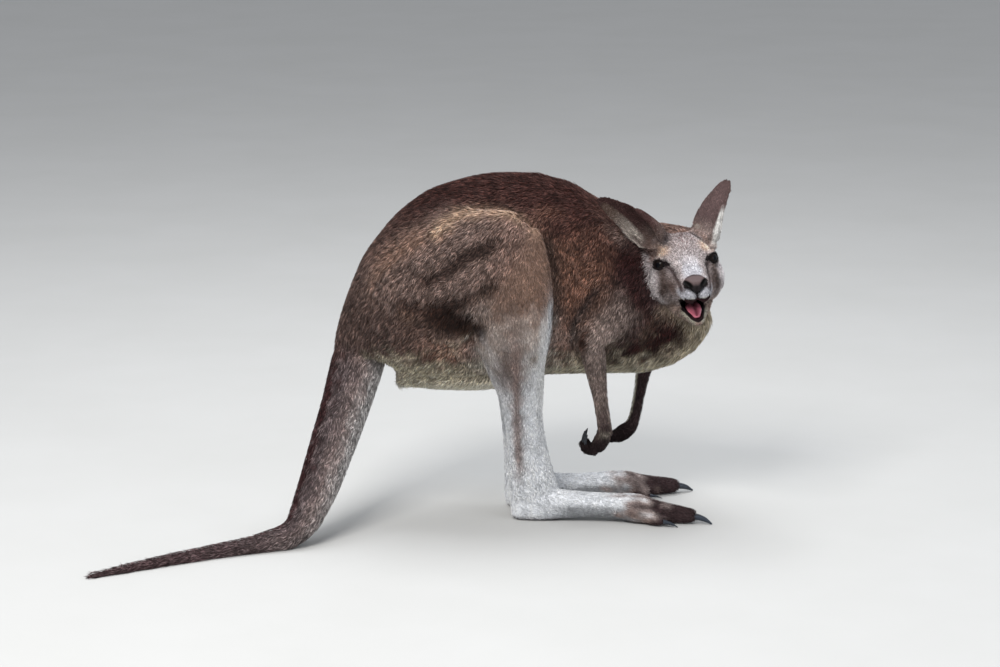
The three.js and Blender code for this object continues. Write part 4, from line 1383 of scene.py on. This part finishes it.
def unwrapped(name, co, tris):
    """The flat pattern of a stretch of skin, one place for each corner of its triangles."""
    used, at = np.unique(tris, return_inverse=True)
    obj = mesh_object(f"pattern_{name}", co[used], at.reshape(-1, 3))
    edit_whole(obj)
    bpy.ops.uv.smart_project(angle_limit=math.radians(66), island_margin=PATCH)
    bpy.ops.object.mode_set(mode="OBJECT")
    mesh = obj.data
    flat = np.empty(len(mesh.loops) * 2, np.float32)
    mesh.uv_layers.active.data.foreach_get("uv", flat)
    bpy.data.objects.remove(obj)
    bpy.data.meshes.remove(mesh)
    return flat.reshape(-1, 3, 2).astype(float)


def tufts(name, root, normal, lie, length, width, height, colour, flat, rng):
    """A piece of the coat: one solid tuft at each root."""
    n = len(root)
    unrest = bpy.context.scene.kangaroo_coat.unrest
    turn = 0.55 * hills(root, 0.05, 11) * unrest * 1.5
    turn += rng.normal(0, unrest, n)
    side = np.cross(normal, lie)
    way = unit(lie * np.cos(turn)[:, None] + side * np.sin(turn)[:, None])
    side = np.cross(normal, way)
    length = length * rng.uniform(0.75, 1.2, n)
    width = width * rng.uniform(0.7, 1.25, n)
    height = height * rng.uniform(0.55, 1.05, n)
    bend = rng.normal(0, 0.10, n) * length
    base = root - normal * ROOT_DEPTH
    belly = root + way * (0.38 * length)[:, None] + normal * (0.66 * height)[:, None]
    tip = root + way * length[:, None] + normal * height[:, None] + side * bend[:, None]
    half = side * (width * 0.5)[:, None]
    ridge = normal * (width * 0.30)[:, None]
    co = np.stack([base, belly - half, belly + half, belly + ridge, tip], 1)
    co[:, :, 2] = np.maximum(co[:, :, 2], rng.uniform(0.0003, 0.0009, n)[:, None])
    faces = (TUFT_FACES[None] + 5 * np.arange(n)[:, None, None]).reshape(-1, 3)
    obj = mesh_object(name, co.reshape(-1, 3), faces)
    shade = np.tile(TUFT_SHADES, (n, 1))
    shade[:, 0] += 0.45 * np.clip(colour.mean(1) * 1.3, 0, 1)
    shade[:, 4] = rng.uniform(0.9, 1.9, n)
    paint = colour[:, None, :] * shade[:, :, None]
    paint = paint + (paint.mean(2, keepdims=True) - paint) * TUFT_GREYER[None, :, None]
    carry(obj.data, "marking", np.clip(paint.reshape(-1, 3), 0, 1))
    strand = TUFT_ACROSS + rng.random(n)[:, None] * 5
    carry(obj.data, "strand", strand.ravel())
    spots = (flat[:, None, :] + (TUFT_PATCH[None] - 0.5) * PATCH).reshape(-1, 2)
    layer = obj.data.uv_layers.new(name="OFBake")
    layer.data.foreach_set("uv", np.clip(spots[faces.ravel()], 0, 1).astype(np.float32).ravel())
    return obj


def tuft_sizes(co, share):
    """The length of the tufts and the distance between them, at each place on the skin."""
    length, spacing = amount_of(share, LENGTH), amount_of(share, SPACING)
    local = in_head(co)
    face = group(share, "head") * step(-0.04, 0.07, local[:, 0])
    length *= 1 - 0.5 * face
    length *= 1 - 0.35 * step(0.085, 0.100, local[:, 0]) * face
    spacing *= 1 - 0.18 * face
    for side in SIDES:
        at = ear_place(co, side)[:, 0] / EAR_LENGTH
        length *= 1 - 0.40 * group(share, f"ear_{side}") * step(0.70, 0.95, at)
    return length, spacing


def blended(values, corners, weights):
    """What the corners of triangles carry, blended by their weights."""
    return (values[corners] * (weights if values.ndim == 1 else weights[:, :, None])).sum(1)


def sown(counts, rng):
    """That many places in each triangle, at random: each one's triangle, and the weights of its corners."""
    pick = np.repeat(np.arange(len(counts)), counts)
    a, b = rng.random(len(pick)), rng.random(len(pick))
    over = a + b > 1
    a[over], b[over] = 1 - a[over], 1 - b[over]
    return pick, np.stack([1 - a - b, a, b], 1)


def tuft_heights(root, part):
    """How high the tips of tufts stand over the skin."""
    high = amount_of(part, DEPTH)
    high *= 1 - 0.65 * step(0.03, 0.09, in_head(root)[:, 0]) * group(part, "head")
    return high * (1 - 0.55 * group(part, "ear_right", "ear_left"))


class KANGAROO_OT_coat(bpy.types.Operator):
    """Covers the skin with solid tufts that follow the lie of the coat"""

    bl_idname = "kangaroo.coat"
    bl_label = "Coat"

    def execute(self, context):
        coat = context.scene.kangaroo_coat
        skin = bpy.data.objects["skin"].data
        tris = triangles_of(skin)
        co, normals = rows_of(skin), normals_of(skin)
        share = np.stack([read(skin, f"share_{name}") for name in NAMES], 1)
        lie = np.stack([read(skin, f"lie_{axis}") for axis in "xyz"], 1)
        mouth = read(skin, "mouth")
        length, spacing = tuft_sizes(co, share)
        bare = bare_places(co, mouth, normals)
        corner = co[tris]
        across = np.cross(corner[:, 1] - corner[:, 0], corner[:, 2] - corner[:, 0])
        area = np.linalg.norm(across, axis=1) / 2
        due = area / spacing[tris].mean(1) ** 2 * coat.crowding * (1 - bare[tris].mean(1))
        region = share[tris].mean(1).argmax(1)
        low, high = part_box("trunk")
        hand_side = np.sign(corner[:, :, 1].mean(1) - (low.y / 2 + high.y / 2))
        hair = coat_material()
        for number, (name, (regions, side, slot)) in enumerate(COAT_PIECES.items()):
            rng = np.random.default_rng(FIRST_SEED + number)
            held = np.isin(region, [NAMES.index(r) for r in regions])
            if side:
                held &= hand_side == side
            held = np.nonzero(held)[0]
            flat = unwrapped(name, co, tris[held])
            pick, weights = sown(rng.poisson(due[held]), rng)
            if len(pick) > MOST_TUFTS:
                raise RuntimeError(f"{name} has {len(pick)} tufts, too many for one piece")
            at = tris[held[pick]]
            root, normal, way, part, lips, long = (
                blended(values, at, weights) for values in (co, normals, lie, share, mouth, length))
            normal = unit(normal)
            way = flattened(way, normal)
            colour = markings(root, normal, part)
            colour *= grizzle_and_lock_shade(root, part, rng)[:, None]
            colour = with_mouth(colour, lips, in_head(root))
            wide = coat.tuft_width * np.clip(long / FULL_LENGTH, 0.42, 1.15)
            patch = (flat[pick] * weights[:, :, None]).sum(1)
            obj = tufts(name, root, normal, way, long, wide, tuft_heights(root, part), colour, patch, rng)
            finish_piece(obj, hair, slot)
        return {"FINISHED"}


def grizzle_and_lock_shade(root, part, rng):
    """Lighter and darker tufts side by side, as in agouti hair, in soft bands across the coat; the finest
    bands are painted shade in the gaps between locks.
    """
    n = len(root)
    plain = group(part, "shank_right", "shank_left", "foot_right", "foot_left", "pouch")
    spread = 0.52 - 0.28 * plain
    shade = np.exp(rng.normal(0, spread, n))
    lock_gap_shade = (0.34 - 0.22 * plain) * (1 - 0.5 * group(part, "head", "ear_right", "ear_left"))
    bands = lock_gap_shade * hills(root, 0.011, 7) + 0.16 * hills(root, 0.028, 5) + 0.10 * hills(root, 0.09, 6)
    shade *= np.exp(bands)
    return np.clip(shade, 0.28, 2.6)


def bare_places(co, mouth, normals):
    """Where no tufts grow: lips and mouth, nose, eyes and soles."""
    local = in_head(co)
    bare = np.maximum(step(0.45, 0.70, mouth), lower_lip(local))
    for side in SIDES:
        away, past, _, _ = lid_place(local, side)
        bare = np.maximum(bare, (past < 7) & (away < 1.4))
    low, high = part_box("nose")
    middle = np.array(low + high) / 2
    bare = np.maximum(bare, np.linalg.norm((co - middle) / np.array(high - low) * 2, axis=1) < 0.84)
    bare = np.maximum(bare, step(0.004, 0.002, co[:, 2]) * step(-0.5, -0.8, normals[:, 2]))
    return bare


# ---------------------------------------------------------------- eyes, nose, mouth and claws

class KANGAROO_OT_eyes(bpy.types.Operator):
    """Makes the two dark eyes"""

    bl_idname = "kangaroo.eyes"
    bl_label = "Eyes"

    def execute(self, context):
        mat = eye_material()
        for side in SIDES:
            middle, radius = eyeball(side)
            only(None)
            bpy.ops.mesh.primitive_uv_sphere_add(segments=48, ring_count=32, radius=radius)
            eye = context.object
            eye.name = eye.data.name = f"eyeball_{side}"
            gaze = Vector(eye_axes(side)[0])
            co = rows_of(eye.data)
            out = co[:, 2] / radius
            co[:, 2] += EYE_BULGE * step(0.72, 1.0, out)
            ring = np.degrees(np.arccos(np.clip(out, -1, 1))) / IRIS_REACH
            turn = np.array(Vector((0, 0, 1)).rotation_difference(gaze).to_matrix())
            deeper = np.array(gaze) * -EYE_SUNK
            put_rows(eye.data, (co @ turn.T + deeper) @ HEAD.T + np.array(middle))
            carry(eye.data, "iris", ring)
            finish_piece(eye, mat, "eye", f"eye_{side}")
        return {"FINISHED"}


class KANGAROO_OT_lids(bpy.types.Operator):
    """Makes the dark bare lids round the eyes"""

    bl_idname = "kangaroo.lids"
    bl_label = "Lids"

    def execute(self, context):
        mat = wet_material("lid skin", 0.6, 0.06, 0.0, 1200.0)
        turn = np.linspace(0, 2 * math.pi, LID_POINTS, endpoint=False)
        opening = opening_at(turn)
        corner = np.arange(LID_POINTS)
        after = (corner + 1) % LID_POINTS
        for side in SIDES:
            middle, radius = eyeball(side)
            middle = in_head(np.array([middle]))[0]
            gaze, inner, up = eye_axes(side)
            spoke = np.cos(turn)[:, None] * inner + np.sin(turn)[:, None] * up
            rings, faces = [], []
            for number, (past, height) in enumerate(LID_RINGS):
                angle = np.radians(opening + past)
                rings.append(middle - gaze * EYE_SUNK + (radius + height / 1000) * (
                    np.cos(angle)[:, None] * gaze + np.sin(angle)[:, None] * spoke))
                here, there = number * LID_POINTS, (number + 1) % len(LID_RINGS) * LID_POINTS
                faces.append(np.stack([here + corner, here + after, there + after, there + corner], 1))
            lid = mesh_object(f"eyelid_{side}", from_head(np.concatenate(rings)), np.concatenate(faces))
            edit_whole(lid)
            bpy.ops.mesh.normals_make_consistent(inside=False)
            bpy.ops.object.mode_set(mode="OBJECT")
            rounded(lid, 1)
            carry(lid.data, "marking", np.broadcast_to(LID_TONE, (len(lid.data.vertices), 3)))
            finish_piece(lid, mat, "nose")
        return {"FINISHED"}


class KANGAROO_OT_nose(bpy.types.Operator):
    """Makes the leathery nose with its nostrils"""

    bl_idname = "kangaroo.nose"
    bl_label = "Nose"

    def execute(self, context):
        nose = copy_of(["nose"], "nose_leather")
        remesh(nose, NOSE_WRAP)
        co = Weave(nose.data).even(rows_of(nose.data), 10)
        local, looks = in_head(co), normals_of(nose.data) @ HEAD
        low, high = local[:, 2].min(), local[:, 2].max()
        rise = (local[:, 2] - low) / (high - low)
        # Wide wings above, a narrow stem below that runs into the split of the lip.
        local[:, 1] *= 0.34 + 0.78 * step(0.05, 0.60, rise) - 0.36 * step(0.72, 1.0, rise)
        side = np.abs(local[:, 1]) * 1000
        # The nostrils slant from high outside to low inside.
        out, up = side - NOSTRIL_OUT, (rise - NOSTRIL_UP) * NOSE_TALL
        along, over = (out * 0.72 + up * 0.69) / NOSTRIL_LONG, (out * -0.69 + up * 0.72) / NOSTRIL_WIDE
        hole = np.exp(-(along ** 2 + over ** 2) ** 1.5) * step(-0.3, 0.2, looks[:, 0])
        local = local - (NOSTRIL_DEEP * hole)[:, None] * unit(looks + np.array((0.8, 0, 0)))
        wing = near(side, 17.0, 4) * near(rise, 0.82, 0.14)
        wing = wing + 0.8 * near(side, 21.5, 2) * near(rise, 0.45, 0.2)
        local = local + (0.0010 * wing)[:, None] * looks
        cleft = near(side, 0, 1.4) * step(0.60, 0.25, rise) * step(0.0, 0.4, looks[:, 0])
        local = local - (0.0018 * cleft)[:, None] * looks
        put_rows(nose.data, from_head(local))
        colour = laid(
            np.broadcast_to(LEATHER_TONE, co.shape),
            (LEATHER_TOP, step(0.9, 1.0, rise)),
            (LEATHER_STEM, step(0.58, 0.36, rise) * step(13, 8, side - 6 * rise)),
            # Painted shade inside the nostrils.
            (NOSTRIL_SHADE, step(0.10, 0.32, hole)),
        )
        carry(nose.data, "marking", colour)
        finish_piece(nose, wet_material("nose leather", 0.55, 0.12, 0.0, 900.0), "nose", "nose")
        return {"FINISHED"}


class KANGAROO_OT_tongue(bpy.types.Operator):
    """Makes the tongue that shows in the open mouth"""

    bl_idname = "kangaroo.tongue"
    bl_label = "Tongue"

    def execute(self, context):
        tongue = copy_of(["tongue"], "tongue_flesh")
        remesh(tongue, TONGUE_WRAP)
        co = Weave(tongue.data).even(rows_of(tongue.data), 12)
        local, normals = in_head(co), normals_of(tongue.data) @ HEAD
        groove = near(local[:, 1], 0, 0.003) * step(0.3, 0.8, normals[:, 2])
        local[:, 2] -= 0.0026 * groove
        local[:, 1] *= 0.92 - 0.28 * step(0.045, 0.085, local[:, 0])
        local[:, 2] -= 0.004 * step(0.045, 0.080, local[:, 0])
        put_rows(tongue.data, from_head(local))
        pink = Tones().tongue
        # The groove and the back of the tongue are painted darker as shade.
        colour = laid(np.broadcast_to(pink, co.shape), (pink * 0.6, groove),
                      (pink * 0.35, step(0.06, 0.02, local[:, 0])))
        carry(tongue.data, "marking", colour)
        finish_piece(tongue, wet_material("tongue", 0.30, 0.3, 0.6, 1400.0), "tongue", "tongue")
        return {"FINISHED"}


class KANGAROO_OT_claws(bpy.types.Operator):
    """Makes the horn claws of the toes and fingers"""

    bl_idname = "kangaroo.claws"
    bl_label = "Claws"

    def execute(self, context):
        tone = tuple(context.scene.kangaroo_colours.horn)
        horn = horn_material("toe horn", tone)
        # The finger claws take the same horn, painted darker as shade.
        painted_shade_horn = horn_material("finger horn in painted shade", tuple(0.35 * c for c in tone))
        kinds = [f"claw_{toe}" for toe in ("fourth", "fifth", "second")]
        kinds += [f"finger_claw_{number}" for number in range(1, 6)]
        for side in SIDES:
            for kind in kinds:
                name, on_toe = f"{kind}_{side}", not kind.startswith("finger")
                claw = copy_of([name], f"horn_{name}")
                if on_toe:
                    low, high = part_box(name)
                    co = rows_of(claw.data)
                    far = (co[:, 0] - low.x) / (high.x - low.x)
                    co[:, 0] -= CLAW_ROOT * step(0.5, 0.0, far)
                    co[:, 1] += CLAW_WIDER * (co[:, 1] - (low.y + high.y) / 2)
                    put_rows(claw.data, co)
                rounded(claw, 2 if on_toe else 1)
                finish_piece(claw, horn if on_toe else painted_shade_horn, "horn", name)
        return {"FINISHED"}


# ---------------------------------------------------------------- the stage

class KANGAROO_OT_stage(bpy.types.Operator):
    """Sets up the camera, the pale floor and the soft light"""

    bl_idname = "kangaroo.stage"
    bl_label = "Stage"

    def execute(self, context):
        scene = context.scene
        wanted = scene.kangaroo_stage
        data = bpy.data.cameras.new("camera")
        data.sensor_width = 36.0
        data.lens = wanted.lens
        data.clip_end = 60.0
        camera = bpy.data.objects.new("camera", data)
        camera.location = wanted.eye
        camera.rotation_euler = (math.pi / 2 - wanted.fall, 0, -wanted.turn)
        scene.collection.objects.link(camera)
        scene.camera = camera
        only(None)
        bpy.ops.mesh.primitive_plane_add(size=1.0, location=(0, 0, 0))
        floor = context.object
        floor.name = floor.data.name = "floor"
        edit_whole(floor)
        bpy.ops.transform.resize(value=(FLOOR_SIZE, FLOOR_SIZE, 1))
        bpy.ops.object.mode_set(mode="OBJECT")
        floor.data.materials.append(floor_material())
        sky = bpy.data.worlds.new("sky")
        sky.use_nodes = True
        background = sky.node_tree.nodes["Background"]
        background.inputs["Color"].default_value = SKY_TONE
        background.inputs["Strength"].default_value = SKY_POWER
        scene.world = sky
        for name, (place, power, size, shade) in LAMPS.items():
            lamp = bpy.data.lights.new(name, "AREA")
            lamp.energy = power
            lamp.size = size
            lamp.color = shade
            lit = bpy.data.objects.new(name, lamp)
            lit.location = place
            aim = Vector(LAMPS_AIM) - Vector(place)
            lit.rotation_euler = aim.to_track_quat("-Z", "Y").to_euler()
            scene.collection.objects.link(lit)
        scene.view_settings.view_transform = "Standard"
        return {"FINISHED"}


class KANGAROO_PT_panel(bpy.types.Panel):
    """Lists the steps that build the kangaroo, with their sizes and colours"""

    bl_idname = "KANGAROO_PT_panel"
    bl_label = "Kangaroo"
    bl_space_type = "VIEW_3D"
    bl_region_type = "UI"
    bl_category = "Kangaroo"

    def draw(self, context):
        for name, kind in SETTINGS.items():
            box = self.layout.box()
            for prop in kind.__annotations__:
                box.prop(getattr(context.scene, name), prop)
        for operator in OPERATORS:
            self.layout.operator(operator.bl_idname)


OPERATORS = (
    KANGAROO_OT_stage,
    KANGAROO_OT_skin,
    KANGAROO_OT_eyes,
    KANGAROO_OT_lids,
    KANGAROO_OT_nose,
    KANGAROO_OT_tongue,
    KANGAROO_OT_claws,
    KANGAROO_OT_coat,
)


def register():
    """Adds the classes and the scene's settings."""
    for kind in (*SETTINGS.values(), *OPERATORS, KANGAROO_PT_panel):
        bpy.utils.register_class(kind)
    for name, kind in SETTINGS.items():
        setattr(bpy.types.Scene, name, bpy.props.PointerProperty(type=kind))


def unregister():
    """Takes the classes and the settings away again."""
    for name in SETTINGS:
        delattr(bpy.types.Scene, name)
    for kind in (KANGAROO_PT_panel, *reversed(OPERATORS), *SETTINGS.values()):
        bpy.utils.unregister_class(kind)


def main():
    """Builds every piece in order."""
    register()
    for operator in OPERATORS:
        section, name = operator.bl_idname.split(".")
        getattr(getattr(bpy.ops, section), name)()


if __name__ == "__main__":
    main()
